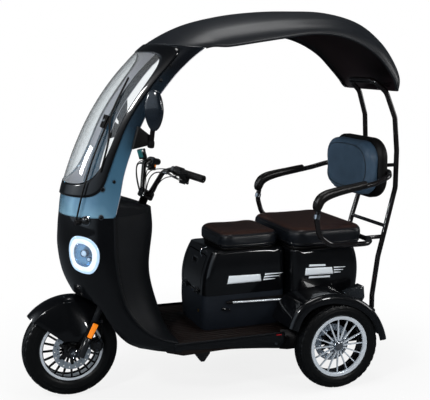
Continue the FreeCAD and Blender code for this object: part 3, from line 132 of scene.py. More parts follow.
def finish_material(material, shader_inputs):
    """The Principled shader and the output, with the inputs given."""
    shader = add_node(material, "ShaderNodeBsdfPrincipled", shader_inputs)
    add_node(material, "ShaderNodeOutputMaterial", {"Surface": shader.outputs["BSDF"]})
    return material


def object_coordinates(material, scale=(1, 1, 1)):
    place = add_node(material, "ShaderNodeTexCoord")
    return add_node(material, "ShaderNodeMapping",
        {"Vector": place.outputs["Object"], "Scale": scale}).outputs["Vector"]


def bump_from(material, height, strength, distance):
    return add_node(
        material, "ShaderNodeBump",
        {"Height": height, "Strength": strength, "Distance": distance}).outputs["Normal"]


def grained(name, colour, second, rough, rough_spread, grain_mm, grain_depth_mm, grain_strength, patch_mm=90,
    **shader):
    """A moulded or coated surface: two close colours in soft patches, with a fine grain in its bump."""
    material = new_material(name)
    where = object_coordinates(material)
    patches = add_node(material, "ShaderNodeTexNoise", {
        "Vector": where, "Scale": 1 / (patch_mm * MM), "Detail": 3.0, "Roughness": 0.5})
    colours = add_node(material, "ShaderNodeMix", {
        "Factor": patches.outputs["Fac"], "A": linear_colour(colour), "B": linear_colour(second)},
        data_type="RGBA")
    grain = add_node(material, "ShaderNodeTexNoise", {
        "Vector": where, "Scale": 1 / (grain_mm * MM), "Detail": 2.0, "Roughness": 0.6})
    gloss = add_node(material, "ShaderNodeMapRange", {
        "Value": patches.outputs["Fac"], "To Min": rough - rough_spread, "To Max": rough + rough_spread})
    inputs = {
        "Base Color": colours.outputs["Result"], "Roughness": gloss.outputs["Result"],
        "Normal": bump_from(material, grain.outputs["Fac"], grain_strength, grain_depth_mm * MM)}
    inputs.update(shader)
    return finish_material(material, inputs)


MATERIALS = {}
# Plastics without lacquer reflect little.
MATTE = {"Specular IOR Level": 0.22}
# name: colour, second colour, roughness, its spread, grain in mm, its depth in mm, its strength, other inputs
FINISHES = {
    # Mould-grained polypropylene: matte blue-black with a leather-like grain.
    "grained_pp": ("#07090C", "#0C0F14", 0.5, 0.05, 1.4, 0.12, 0.5, MATTE),
    # The same without the blue, for the small mouldings.
    "grained_pp_dark": ("#080707", "#0D0B0C", 0.5, 0.05, 1.4, 0.12, 0.5, MATTE),
    # Ribbed floor: the same plastic with a brown cast from wear and dust.
    "floor_pp": ("#120C0A", "#1C1310", 0.5, 0.06, 1.4, 0.12, 0.5, {"patch_mm": 60, **MATTE}),
    # Skirt under the front body: slate-blue, lighter than the other dark plastics.
    "skirt_pp": ("#141920", "#1B212A", 0.52, 0.05, 1.4, 0.12, 0.5, MATTE),
    # Pressed liner under the roof: brown-black, with broad soft patches.
    "roof_liner": ("#170F13", "#21161A", 0.5, 0.05, 1.0, 0.1, 0.4, {"patch_mm": 140, **MATTE}),
    # Pale sheet inside the windscreen's frame: painted light, so that the screen shows brightness through it.
    "painted_light_lining": ("#D9DAE2", "#C9CBD6", 0.5, 0.05, 1.2, 0.05, 0.2, MATTE),
    # Smoked acrylic of the tail lamps: dark grey, with a soft gloss.
    "smoked_lens": ("#15181C", "#20252A", 0.25, 0.05, 4, 0.05, 0.3,
        {"Coat Weight": 0.6, "Coat Roughness": 0.1}),
    # Printed film: nearly white, smooth, with a touch of blue.
    "white_film": ("#F0F6FB", "#E2ECF5", 0.3, 0.04, 6, 0.01, 0.1, {"Coat Weight": 0.3}),
    # Lacquered mirror shell: blue-black with a wavy gloss that breaks the light up.
    "mirror_shell": ("#0C1218", "#141C25", 0.2, 0.04, 9, 0.35, 0.7, {
        "patch_mm": 30, "Coat Weight": 1.0, "Coat Roughness": 0.03}),
    # Brass of the lock: warm and a little dull.
    "brass_key": ("#B79B5A", "#8F7840", 0.3, 0.05, 3, 0.02, 0.2, {"Metallic": 1.0}),
    # Extruded cable sheath: black, smoother than the grips.
    "cable_sheath": ("#090808", "#100E0E", 0.35, 0.05, 2, 0.05, 0.3, MATTE),
    # Powder-coated steel tube: dark brown-black and glossy, with faint orange peel.
    "powder_coat": ("#0C0A0A", "#151112", 0.22, 0.05, 2.5, 0.03, 0.3,
        {"Coat Weight": 0.6, "Coat Roughness": 0.1}),
    # Paint of the fork and the caliper's cover: dark grey under a thin clear coat.
    "grey_paint": ("#121417", "#191C20", 0.32, 0.05, 3, 0.02, 0.2,
        {"Coat Weight": 0.5, "Coat Roughness": 0.12}),
    # Tyre rubber: black in small patches, with a faint shine.
    "tyre_rubber": ("#040506", "#090B0D", 0.42, 0.08, 0.9, 0.08, 0.4, {
        "patch_mm": 25, "Specular IOR Level": 0.3, "Coat Weight": 0.1, "Coat Roughness": 0.3}),
    # Moulded grip rubber: the dullest black.
    "grip_rubber": ("#0A0909", "#110F0F", 0.6, 0.06, 1.0, 0.15, 0.6, MATTE),
    # Skinned foam of the armrests: soft sheen over a fine closed-cell skin.
    "foam_skin": ("#0B0A0A", "#141110", 0.34, 0.06, 1.6, 0.12, 0.5,
        {"patch_mm": 40, "Specular IOR Level": 0.35}),
    # Chrome plate: mirror-like, with slight waves.
    "chrome": ("#D9DEE4", "#C7CDD4", 0.08, 0.03, 20, 0.01, 0.1, {"Metallic": 1.0}),
    # Black oxide on the small bolts: dark, with a metal's gleam.
    "black_oxide": ("#101113", "#1A1B1E", 0.3, 0.05, 3, 0.03, 0.3, {"Metallic": 0.6}),
    # Piping: a thin vinyl bead, a little glossier than the seat.
    "seat_piping": ("#0B0A0A", "#141212", 0.3, 0.04, 2, 0.05, 0.3, {}),
    # Zinc-plated steel: grey and cloudy.
    "zinc_steel": ("#7F858C", "#5D6268", 0.35, 0.08, 3, 0.03, 0.3, {"Metallic": 1.0}),
    # Black enamel on metal: nearly as glossy as the body.
    "gloss_black_metal": ("#090909", "#101010", 0.18, 0.03, 6, 0.02, 0.2,
        {"Coat Weight": 0.8, "Coat Roughness": 0.05}),
    # Silver tape of the side rods: pale and only partly metallic, so it stays bright in the shade.
    "silver_tape": ("#E4E9EE", "#CDD4DB", 0.22, 0.04, 5, 0.01, 0.1, {"Metallic": 0.3}),
    # Grey polypropylene of the hub caps.
    "satin_grey_pp": ("#3A3F46", "#454A52", 0.45, 0.05, 1.6, 0.08, 0.4, {}),
    # Vacuum-coated reflector: mirror-like, with a painted blue glow that stands for the lamp's light in it.
    "lamp_reflector": ("#7FA8C8", "#3F6E90", 0.18, 0.05, 5, 0.2, 0.8, {
        "Metallic": 1.0, "Emission Color": linear_colour("#7FB2DA"), "Emission Strength": 0.25}),
    # Coated barrels of the lamps: deep teal with a metal's gleam.
    "lamp_barrel": ("#12384F", "#1C5674", 0.2, 0.05, 5, 0.05, 0.3, {"Metallic": 0.6}),
    # Lit lamp glass: pale blue, with a hard clear gloss.
    "lamp_glass": ("#9CC6E4", "#D9EEFF", 0.08, 0.02, 6, 0.02, 0.2, {
        "Coat Weight": 1.0, "Emission Color": linear_colour("#CFE6FA"), "Emission Strength": 0.35}),
    # Silver-lacquered aluminium: a pale metallic paint under clear coat, so it stays light in the shade.
    "polished_alloy": ("#EEF5FC", "#D6E2EE", 0.26, 0.05, 5, 0.015, 0.2, {
        "Metallic": 0.35, "Coat Weight": 0.8, "Coat Roughness": 0.05}),
    # Silvered mirror glass.
    "mirror_glass": ("#D5DCE2", "#C9D1D8", 0.03, 0.01, 40, 0.01, 0.05, {"Metallic": 1.0}),
}


def make_materials(colours):
    """Every finish of the vehicle, named for what the real one is."""
    made = MATERIALS
    # Lacquered ABS: deep black under clear coat, with the slight waviness of a sprayed panel.
    made["lacquered_abs"] = grained("lacquered_abs", colours.body, colours.body_tone, 0.3, 0.04, 14, 0.02,
        0.2, **{
        "Coat Weight": 1.0, "Coat Roughness": 0.03, "Specular IOR Level": 0.15})
    # Satin ABS of the roof: fine grained, so lights spread into soft bands on it.
    made["satin_roof_abs"] = grained("satin_roof_abs", colours.roof, colours.roof_tone, 0.46, 0.04, 1.2, 0.05,
        0.25, **{
        "Coat Weight": 0.12, "Coat Roughness": 0.3, "Specular IOR Level": 0.4})
    for name, (*numbers, inputs) in FINISHES.items():
        made[name] = grained(name, *numbers, **inputs)
    # Ground steel of the brake discs: pale grey with a fine scatter.
    made["brushed_disc"] = brushed_steel("brushed_disc", "#C3D0DD", "#93A1B0")
    # Upholstery: blue-black sides with a browner top painted lighter as if lit from above, and the steel-blue of
    # the backrest.
    made["seat_vinyl"] = vinyl("seat_vinyl", "#0A0D12", "#10141A", 0.34, 1.6, top=("#2C1D19", "#3C2822"))
    made["back_vinyl"] = vinyl("back_vinyl", "#2A3C4E", "#40586E", 0.45, 1.8)
    # Reflectors and coloured glasses: acrylic with small cells and a painted glow, which keeps them bright even in
    # the shade.
    made["amber_lens"] = lens("amber_lens", "#FF8A00", 0.35, "#FF8A00", 0.35)
    made["red_lens"] = lens("red_lens", "#B0101C", 0.2, "#B0101C", 0.1)
    made["teal_glass"] = lens("teal_glass", "#0E6A6E", 0.4, "#0A5358", 0.15)
    # Light guides of the headlamps: frosted acrylic, lit white inside and paler blue round it.
    made["lamp_ring"] = lens("lamp_ring", "#8FA0B2", 0.2, "#FCFDFF", 0.94, "#D3E5F5")
    made["lamp_halo"] = lens("lamp_halo", "#7F9BB5", 0.15, "#C9E1F8", 0.78, "#A5C9EA")
    made["lamp_lens"] = clear_plastic("lamp_lens", "#F4F9FF", 0.02)
    made["screen_plastic"] = clear_plastic("screen_plastic", "#F6FAFC", 0.0)
    # Steel-blue lacquer of the windscreen's frame, with a painted reflection that brightens it low down.
    made["steel_blue_painted_reflection"] = steel_blue_painted_reflection()


def brushed_steel(name, colour, second):
    """Ground steel: a fine scatter of lighter and darker grain."""
    material = new_material(name)
    where = object_coordinates(material)
    grain = add_node(material, "ShaderNodeTexNoise",
        {"Vector": where, "Scale": 1 / (1.5 * MM), "Detail": 2.0})
    colours = add_node(material, "ShaderNodeMix", {
        "Factor": grain.outputs["Fac"], "A": linear_colour(colour), "B": linear_colour(second)},
        data_type="RGBA")
    return finish_material(material, {
        "Base Color": colours.outputs["Result"], "Metallic": 0.7, "Roughness": 0.34,
        "Normal": bump_from(material, grain.outputs["Fac"], 0.15, 0.05 * MM)})


def vinyl(name, colour, second, rough, grain_mm, top=None):
    """Upholstery vinyl: pebbled leather grain of small cells; a seat's top can be painted lighter and browner than
    its sides, as if lit from above.
    """
    material = new_material(name)
    where = object_coordinates(material)
    cells = add_node(material, "ShaderNodeTexVoronoi", {"Vector": where, "Scale": 1 / (grain_mm * MM)},
        feature="SMOOTH_F1")
    soft = add_node(material, "ShaderNodeTexNoise", {"Vector": where, "Scale": 1 / (70 * MM), "Detail": 3.0})
    blend = add_node(material, "ShaderNodeMix", {
        "Factor": soft.outputs["Fac"], "A": linear_colour(colour), "B": linear_colour(second)},
        data_type="RGBA")
    gloss = add_node(material, "ShaderNodeMapRange", {
        "Value": cells.outputs["Distance"], "To Min": rough - 0.05, "To Max": rough + 0.12})
    if top:
        # Painted light: faces turned upwards get a lighter, browner colour, as if lit from above.
        painted_top_light = add_node(material, "ShaderNodeMix", {
            "Factor": soft.outputs["Fac"], "A": linear_colour(top[0]), "B": linear_colour(top[1])},
            data_type="RGBA")
        facing = add_node(material, "ShaderNodeSeparateXYZ", {
            "Vector": add_node(material, "ShaderNodeNewGeometry").outputs["Normal"]})
        upward = add_node(material, "ShaderNodeMapRange", {
            "Value": facing.outputs["Z"], "From Min": 0.55, "From Max": 0.92},
            interpolation_type="SMOOTHSTEP")
        blend = add_node(material, "ShaderNodeMix", {
            "Factor": upward.outputs["Result"], "A": blend.outputs["Result"], "B": painted_top_light.outputs["Result"]},
            data_type="RGBA")
    return finish_material(material, {
        "Base Color": blend.outputs["Result"], "Roughness": gloss.outputs["Result"],
        "Specular IOR Level": 0.35,
        "Normal": bump_from(material, cells.outputs["Distance"], 0.35, 0.25 * MM)})


def lens(name, colour, rough, glow, strength, second=None):
    """A coloured lens with a soft, slightly uneven glow: the real light of the headlamps' light guides, and a
    painted glow on reflectors, knobs and glasses.
    """
    material = new_material(name)
    where = object_coordinates(material)
    patches = add_node(material, "ShaderNodeTexNoise",
        {"Vector": where, "Scale": 1 / (35 * MM), "Detail": 1.0})
    share = add_node(material, "ShaderNodeMapRange", {
        "Value": patches.outputs["Fac"], "From Min": 0.35, "From Max": 0.65})
    light = add_node(material, "ShaderNodeMix", {
        "Factor": share.outputs["Result"], "A": linear_colour(glow), "B": linear_colour(second or glow)},
        data_type="RGBA")
    ribs = add_node(material, "ShaderNodeTexVoronoi", {"Vector": where, "Scale": 1 / (5 * MM)})
    # The emission is a painted glow, except on the headlamps' lit light guides.
    return finish_material(material, {
        "Base Color": linear_colour(colour), "Roughness": rough, "Coat Weight": 1.0, "Coat Roughness": 0.03,
        "Emission Color": light.outputs["Result"], "Emission Strength": strength,
        "Normal": bump_from(material, ribs.outputs["Distance"], 0.3, 0.4 * MM)})


def clear_plastic(name, colour, rough):
    """Clear polycarbonate: nearly colourless, with faint waves from the mould."""
    material = new_material(name)
    where = object_coordinates(material)
    waves = add_node(material, "ShaderNodeTexNoise",
        {"Vector": where, "Scale": 1 / (120 * MM), "Detail": 1.0})
    return finish_material(material, {
        "Base Color": linear_colour(colour), "Roughness": rough, "Transmission Weight": 1.0, "IOR": 1.45,
        "Coat Weight": 1.0, "Coat Roughness": 0.02,
        "Normal": bump_from(material, waves.outputs["Fac"], 0.1, 1 * MM)})


def steel_blue_painted_reflection():
    """Pearl steel-blue lacquer with a painted reflection in its colour: dark towards the roof and bright low down.
    """
    material = new_material("steel_blue_painted_reflection")
    where = object_coordinates(material)
    height = add_node(material, "ShaderNodeSeparateXYZ", {"Vector": where})
    # Painted reflection: the colour runs from bright low down to dark towards the roof, in soft drifting clouds.
    share = add_node(material, "ShaderNodeMapRange", {
        "Value": height.outputs["Z"], "From Min": 0.84, "From Max": 1.50, "To Min": 0.0, "To Max": 1.0})
    cloud = add_node(material, "ShaderNodeTexNoise", {
        "Vector": object_coordinates(material, (3, 1, 0.6)), "Scale": 1 / (190 * MM), "Detail": 1.5})
    drift = add_node(material, "ShaderNodeMath", {0: cloud.outputs["Fac"], 1: 0.34, 2: -0.17},
        operation="MULTIPLY_ADD")
    shifted = add_node(material, "ShaderNodeMath", {0: share.outputs["Result"], 1: drift.outputs["Value"]})
    ramp = add_node(material, "ShaderNodeValToRGB", {"Fac": shifted.outputs["Value"]})
    ramp.color_ramp.elements[0].color = linear_colour("#8DBCD6")
    ramp.color_ramp.elements[1].color = linear_colour("#0C1016")
    for place, code in ((0.14, "#5C88A5"), (0.34, "#44708C"), (0.6, "#24394A")):
        ramp.color_ramp.elements.new(place).color = linear_colour(code)
    flakes = add_node(material, "ShaderNodeTexNoise",
        {"Vector": where, "Scale": 1 / (1.0 * MM), "Detail": 2.0})
    return finish_material(material, {
        "Base Color": ramp.outputs["Color"], "Metallic": 0.35, "Roughness": 0.26, "Coat Weight": 1.0,
        "Coat Roughness": 0.04, "Normal": bump_from(material, flakes.outputs["Fac"], 0.05, 0.05 * MM)})


def new_piece(name, mesh_or_bm, material, body="root", replaces=(), smooth=35):
    """A finished mesh as a piece that rides on a body and stands for CAD nodes."""
    if isinstance(mesh_or_bm, bmesh.types.BMesh):
        mesh = bpy.data.meshes.new(name)
        mesh_or_bm.to_mesh(mesh)
        mesh_or_bm.free()
    else:
        mesh = mesh_or_bm
    piece = bpy.data.objects.new(name, mesh)
    bpy.context.scene.collection.objects.link(piece)
    mesh.materials.clear()
    mesh.materials.append(MATERIALS[material])
    mesh.polygons.foreach_set("use_smooth", [True] * len(mesh.polygons))
    if smooth:
        mesh.set_sharp_from_angle(angle=math.radians(smooth))
    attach(piece, body)
    if replaces:
        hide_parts(*replaces)
    return piece


def merged_copy(node):
    """A CAD node's mesh with its loose triangles joined."""
    bm = bmesh.new()
    bm.from_mesh(frame["nodes"][node].data)
    bmesh.ops.remove_doubles(bm, verts=bm.verts, dist=0.00002)
    bmesh.ops.dissolve_degenerate(bm, dist=0.00001, edges=bm.edges)
    return bm


def body_of_node(node):
    return next(body for body, members in frame["record"]["behaviour"]["bodies"].items() if node in members)


def dress_node(node, material, smooth=32):
    """The CAD node's own shape, smoothed for the render."""
    return new_piece(node + "_shown", merged_copy(node), material, body_of_node(node), (node,), smooth)


def add_solid(piece, thickness, offset=-1.0):
    wall = piece.modifiers.new("Wall", "SOLIDIFY")
    wall.thickness = thickness
    wall.offset = offset
    wall.use_even_offset = True
    return wall


def add_subdivision(piece, levels):
    subdivision = piece.modifiers.new("Smooth", "SUBSURF")
    subdivision.levels = levels
    subdivision.render_levels = levels
    return subdivision


def apply_modifiers(piece):
    """Bake the modifiers into the mesh."""
    bpy.context.view_layer.update()
    graph = bpy.context.evaluated_depsgraph_get()
    mesh = bpy.data.meshes.new_from_object(piece.evaluated_get(graph))
    piece.modifiers.clear()
    piece.data = mesh


def shaped_grid(around, along, place, closed=False):
    """A grid of faces whose corners are placed by a function of two shares from 0 to 1."""
    bm = bmesh.new()
    bmesh.ops.create_grid(bm, x_segments=around, y_segments=along, size=1.0)
    for vert in bm.verts:
        vert.co = place((vert.co.x + 1) / 2, (vert.co.y + 1) / 2)
    if closed:
        bmesh.ops.remove_doubles(bm, verts=bm.verts, dist=0.00001)
        bmesh.ops.recalc_face_normals(bm, faces=bm.faces)
    return bm


def turned(profile, axis_point, axis, steps):
    """A profile of (distance along the axis, radius) turned all the way round."""
    bm = bmesh.new()
    axis = axis.normalized()
    side = axis.orthogonal().normalized()
    verts = [bm.verts.new(axis_point + axis * along + side * radius) for along, radius in profile]
    edges = [bm.edges.new(pair) for pair in zip(verts, verts[1:])]
    bmesh.ops.spin(
        bm, geom=verts + edges, cent=axis_point, axis=axis, angle=2 * math.pi, steps=steps, use_merge=True)
    bmesh.ops.remove_doubles(bm, verts=bm.verts, dist=0.00001)
    bmesh.ops.recalc_face_normals(bm, faces=bm.faces)
    return bm


def smooth_tube(name, points, radius, material, body="root", resolution=12, closed=False):
    """A round bar, cable or closed bead on a smooth curve, as a mesh."""
    curve = bpy.data.curves.new(name, "CURVE")
    curve.dimensions = "3D"
    curve.bevel_depth = radius
    curve.bevel_resolution = 3 if closed else 4
    curve.use_fill_caps = not closed
    spline = curve.splines.new("NURBS")
    spline.points.add(len(points) - 1)
    for target, point in zip(spline.points, points):
        target.co = (*point, 1.0)
    spline.use_cyclic_u = closed
    spline.use_endpoint_u = not closed
    spline.order_u = 3
    spline.resolution_u = resolution
    helper = bpy.data.objects.new(name + "_curve", curve)
    bpy.context.scene.collection.objects.link(helper)
    bpy.context.view_layer.update()
    mesh = bpy.data.meshes.new_from_object(helper.evaluated_get(bpy.context.evaluated_depsgraph_get()))
    bpy.data.objects.remove(helper)
    return new_piece(name, mesh, material, body)


# Stations along the skin, from under the floor's front end up the windscreen and over the roof.
# Each holds the middle (reach, rise) and the edge (width, reach, rise), as shares of the wheelbase,
# of the roof's rise above the floor and of the canopy's half width.
STATIONS = [
    (0.208, -0.033, 1.060, 0.367, 0.004), (0.145, -0.006, 1.017, 0.278, 0.027),
    (0.087, 0.046, 0.947, 0.214, 0.068),
    (0.025, 0.129, 0.873, 0.168, 0.131), (-0.017, 0.202, 0.830, 0.146, 0.213),
    (-0.034, 0.281, 0.800, 0.139, 0.281),
    (-0.032, 0.342, 0.770, 0.140, 0.342), (-0.026, 0.390, 0.750, 0.142, 0.390),
    (-0.016, 0.448, 0.740, 0.160, 0.448),
    (0.011, 0.519, 0.733, 0.179, 0.519), (0.050, 0.598, 0.733, 0.213, 0.598),
    (0.101, 0.680, 0.737, 0.258, 0.680),
    (0.165, 0.759, 0.750, 0.323, 0.755), (0.240, 0.830, 0.773, 0.399, 0.826),
    (0.330, 0.896, 0.813, 0.492, 0.885),
    (0.460, 0.950, 0.860, 0.578, 0.889), (0.612, 0.981, 0.907, 0.680, 0.901),
    (0.765, 0.996, 0.937, 0.790, 0.914),
    (0.909, 1.000, 0.967, 0.900, 0.926), (1.044, 0.997, 0.990, 1.002, 0.923),
    (1.171, 0.971, 1.000, 1.095, 0.901),
    (1.260, 0.919, 0.997, 1.180, 0.862), (1.323, 0.855, 0.973, 1.240, 0.814),
    (1.357, 0.792, 0.920, 1.279, 0.775),
    (1.340, 0.744, 0.860, 1.293, 0.748),
]
APRON_TOP, SCREEN_FOOT, FRAME_TOP, ROOF_END = 7.0, 8.0, 14.0, 24.0


def catmull_rom(a, b, c, d, share):
    """The smooth curve through four points or numbers, a share of the way from the second to the third."""
    return 0.5 * (2 * b + (c - a) * share + (2 * a - 5 * b + 4 * c - d) * share ** 2
                  + (3 * b - a - 3 * c + d) * share ** 3)


def smooth_between(table, place):
    """Catmull-Rom interpolation in a table of tuples."""
    index = min(int(place), len(table) - 2)
    share = place - index
    before, low = table[max(index - 1, 0)], table[index]
    high, after = table[index + 1], table[min(index + 2, len(table) - 1)]
    return tuple(catmull_rom(*numbers, share) for numbers in zip(before, low, high, after))


def in_frame(reach, rise):
    """The (y, z) that a share of the wheelbase and a share of the roof's rise stand for."""
    return FRONT_AXLE.y + WHEELBASE * reach, FLOOR + RISE * rise


def skin_place(place, degrees, depth=0.0):
    """A point on the skin: its place along the stations, the angle across, and the depth below the face."""
    centre_reach, centre_rise, width, edge_reach, edge_rise = smooth_between(STATIONS, place)
    centre, edge = Vector((0, *in_frame(centre_reach, centre_rise))), Vector((0,
        *in_frame(edge_reach, edge_rise)))
    angle = math.radians(degrees)
    reach = (edge - centre).length
    inward = (edge - centre).normalized()
    along = depth + (reach - depth) * (1 - math.cos(angle))
    return centre + inward * along + Vector(((CANOPY * width - depth) * math.sin(angle), 0, 0))


def face_outwards(bm, middle):
    """Turn an open sheet so that its faces look away from a point inside."""
    bmesh.ops.recalc_face_normals(bm, faces=bm.faces)
    bm.faces.ensure_lookup_table()
    looks = sum((face.calc_center_median() - middle).dot(face.normal) * face.calc_area() for face in bm.faces)
    if looks < 0:
        bmesh.ops.reverse_faces(bm, faces=bm.faces)


INSIDE = Vector((0, 0.1, 1.0))


def skin_normal(place, degrees):
    """The direction out of the skin."""
    point = skin_place(place, degrees)
    one, two = skin_place(place + 0.05, degrees) - point, skin_place(place, degrees + 1) - point
    normal = two.cross(one).normalized()
    return normal if normal.dot(point - INSIDE) > 0 else -normal


def on_skin(place, degrees, lift=0.0):
    return skin_place(place, degrees) + skin_normal(place, degrees) * lift


def add_panel(name, bm, material, thickness, replaces=(), offset=-1.0, middle=INSIDE):
    """An open sheet, turned to face outwards and given a wall."""
    face_outwards(bm, middle)
    piece = new_piece(name, bm, material, "root", replaces, smooth=0)
    add_solid(piece, thickness, offset)
    return piece


def cut_with(piece, cutter_bm):
    """Cut a piece with a closed form."""
    mesh = bpy.data.meshes.new("cutter")
    cutter_bm.to_mesh(mesh)
    cutter_bm.free()
    cutter = bpy.data.objects.new("cutter", mesh)
    bpy.context.scene.collection.objects.link(cutter)
    boolean = piece.modifiers.new("Cut", "BOOLEAN")
    boolean.operation = "DIFFERENCE"
    boolean.solver = "EXACT"
    boolean.object = cutter
    apply_modifiers(piece)
    bpy.data.objects.remove(cutter)


def box_form(low, high, rounding=0.0, axis=None):
    """A box between two corners; its edges along an axis can be rounded."""
    bm = bmesh.new()
    bmesh.ops.create_cube(bm, size=1.0)
    low, high = Vector(low), Vector(high)
    for vert in bm.verts:
        vert.co = Vector(low[i] + (high[i] - low[i]) * (vert.co[i] + 0.5) for i in range(3))
    if rounding:
        picked = [edge for edge in bm.edges
                  if axis is None or abs((edge.verts[1].co - edge.verts[0].co).normalized()[axis]) > 0.99]
        bmesh.ops.bevel(
            bm, geom=picked, offset=rounding, segments=6, profile=0.5, affect="EDGES", material=-1)
    return bm


class SCOOTER_OT_apron(bpy.types.Operator):
    """Front apron with its wheel arch and the bead along its rim"""
    bl_idname = "scooter.apron"
    bl_label = "Apron"

    def execute(self, context):
        wall = context.scene.scooter_sizes.wall
        bm = shaped_grid(96, 84, lambda u, v: skin_place(APRON_TOP * v, -90 + 180 * u))
        apron = add_panel("apron_panel", bm, "lacquered_abs", wall, ("front_apron",))
        apply_modifiers(apron)
        arch = box_form((-0.206, FRONT_AXLE.y - 0.4, 0.1), (0.206, FRONT_AXLE.y + 0.275, 0.484), 0.06, 1)
        cut_with(apron, arch)
        for side in (-1, 1):
            ring = [lamp_place(side, step / 32, 0.9, -0.03) for step in range(32)]
            cut_with(apron, plate_form(ring, Vector((side * 0.07, -0.07, 0))))
        apron.data.set_sharp_from_angle(angle=math.radians(35))
        radius = context.scene.scooter_sizes.trim_radius
        for side, name in SIDES:
            points = [skin_place(0.2 + 6.8 * step / 24, side * 89.5, radius * 0.4) for step in range(25)]
            smooth_tube("rim_bead_" + name, points, radius, "grained_pp")
        return {"FINISHED"}


# The window: the places of its sill and its head along the skin, and its half width in degrees.
WINDOW = (8.55, 13.62, 62.0)
WINDOW_POWER, SCREEN_POWER = 4.5, 7


def squircle(turn, power):
    """A point on a rounded square that reaches from -1 to 1; a higher power has tighter corners."""
    across, up = math.cos(turn), math.sin(turn)
    scale = (abs(across) ** power + abs(up) ** power) ** (-1 / power)
    return across * scale, up * scale


def opening(across, up, low, high, reach):
    """The skin's place and angle for a point of a square from -1 to 1, laid between two places."""
    return (low + high) / 2 + (high - low) / 2 * up, reach * across


def skin_between(inner, outer, share, depth=0.0):
    """The skin's point a share of the way from one (place, angle) to another."""
    place, degrees = (start + (end - start) * share for start, end in zip(inner, outer))
    return skin_place(place, degrees, depth)


class SCOOTER_OT_windscreen(bpy.types.Operator):
    """Windscreen frame with its window, the black surround and the clear screen"""
    bl_idname = "scooter.windscreen"
    bl_label = "Windscreen"

    def execute(self, context):
        wall = context.scene.scooter_sizes.wall
        bm = shaped_grid(220, 18, self.frame_corner, closed=True)
        add_panel("screen_frame_panel", bm, "steel_blue_painted_reflection", wall, ("windscreen_frame",))
        # A pale sheet inside the frame: painted light that brightens what shows through the screen.
        bm = shaped_grid(
            180, 10, lambda u, v: self.inner(self.frame_corner(u, 0.004 + 0.97 * v), wall + 0.0012),
            closed=True)
        add_panel("screen_frame_painted_light", bm, "painted_light_lining", 0.0008)
        bm = shaped_grid(72, 72, self.screen_corner)
        add_panel("clear_screen", bm, "screen_plastic", 0.003, ("windscreen",))
        bm = shaped_grid(220, 6, self.border_corner, closed=True)
        add_panel("screen_border", bm, "lacquered_abs", 0.0004, offset=1.0)
        return {"FINISHED"}

    def frame_corner(self, u, v):
        """Between the window's rounded outline and the panel's edge."""
        turn = 2 * math.pi * u
        across, up = math.cos(turn), math.sin(turn)
        square = max(abs(across), abs(up))
        outer = opening(across / square, up / square, APRON_TOP, FRAME_TOP, 90)
        return skin_between(opening(*squircle(turn, WINDOW_POWER), *WINDOW), outer, v)

    def border_corner(self, u, v):
        """The black border printed on the screen, round the window."""
        turn = 2 * math.pi * u
        outer = opening(*squircle(turn, SCREEN_POWER), 8.02, 13.97, 70.9)
        return skin_between(opening(*squircle(turn, WINDOW_POWER), *WINDOW), outer, v, -0.0066)

    def screen_corner(self, u, v):
        """Concentric rounded squares, so that the sheet's corners are round."""
        across, up = 2 * u - 1, 2 * v - 1
        reach = max(abs(across), abs(up))
        if reach > 0:
            across, up = (share * reach for share in squircle(math.atan2(up, across), SCREEN_POWER))
        return skin_place(*opening(across, up, 8.0, 13.99, 71), -0.0033)

    def inner(self, point, depth):
        """The same point, a little nearer to the rider's head."""
        return point + (Vector((0, 0.15, 0.95)) - point).normalized() * depth


class SCOOTER_OT_roof(bpy.types.Operator):
    """Arched roof with its raised crown and the rolled lip along its edge"""
    bl_idname = "scooter.roof"
    bl_label = "Roof"

    def execute(self, context):
        wall = context.scene.scooter_sizes.wall

        def reach(v):
            """How far the sheet goes to each side, in degrees; it is drawn in to round the rear corners."""
            share = max(0.0, (v - 0.93) / 0.07)
            return 90 - 27 * (1 - math.sqrt(max(0.0, 1 - share ** 2)))

        def roof_corner(u, v):
            place = FRAME_TOP + (ROOF_END - FRAME_TOP) * v
            degrees = reach(v) * (2 * u - 1)
            fade = min(1.0, 4 * v, 5 * (1 - v))
            shoulder = 1 / (1 + math.exp((abs(degrees) - 56) / 2.2))
            return skin_place(place, degrees, 0.006 * fade * (1 - shoulder))

        add_panel("roof_panel", shaped_grid(110, 200, roof_corner), "satin_roof_abs", wall, ("roof",))
        bm = shaped_grid(90, 100, lambda u, v: (
            roof_corner(0.01 + 0.98 * u,
                0.004 + 0.992 * v) + (INSIDE - roof_corner(u, v)).normalized() * (wall + 0.001)))
        add_panel("roof_liner", bm, "roof_liner", 0.0008)
        for side, name in SIDES:
            points = [
                skin_place(FRAME_TOP + 10 * share, side * (reach(share) - 0.5), 0.005)
                for share in [step / 40 for step in range(38)] + [0.94, 0.955, 0.968, 0.978, 0.986]]
            smooth_tube("roof_lip_" + name, points, 0.006, "satin_roof_abs")
        return {"FINISHED"}


# A headlamp's middle as a place and an angle on the skin, its height, its outline and its half sizes.
LAMP_MIDDLE, LAMP_HEIGHT = (5.0, 49.7), 0.6888
LAMP_OUTLINE = [
    (-0.55, 1.0), (0.45, 0.9), (1.0, 0.35), (1.0, -0.45), (0.5, -1.0), (-0.6, -0.85), (-1.0, -0.3),
    (-1.0, 0.55)]
LAMP_HALF_WIDTH, LAMP_HALF_HEIGHT = 0.070, 0.080


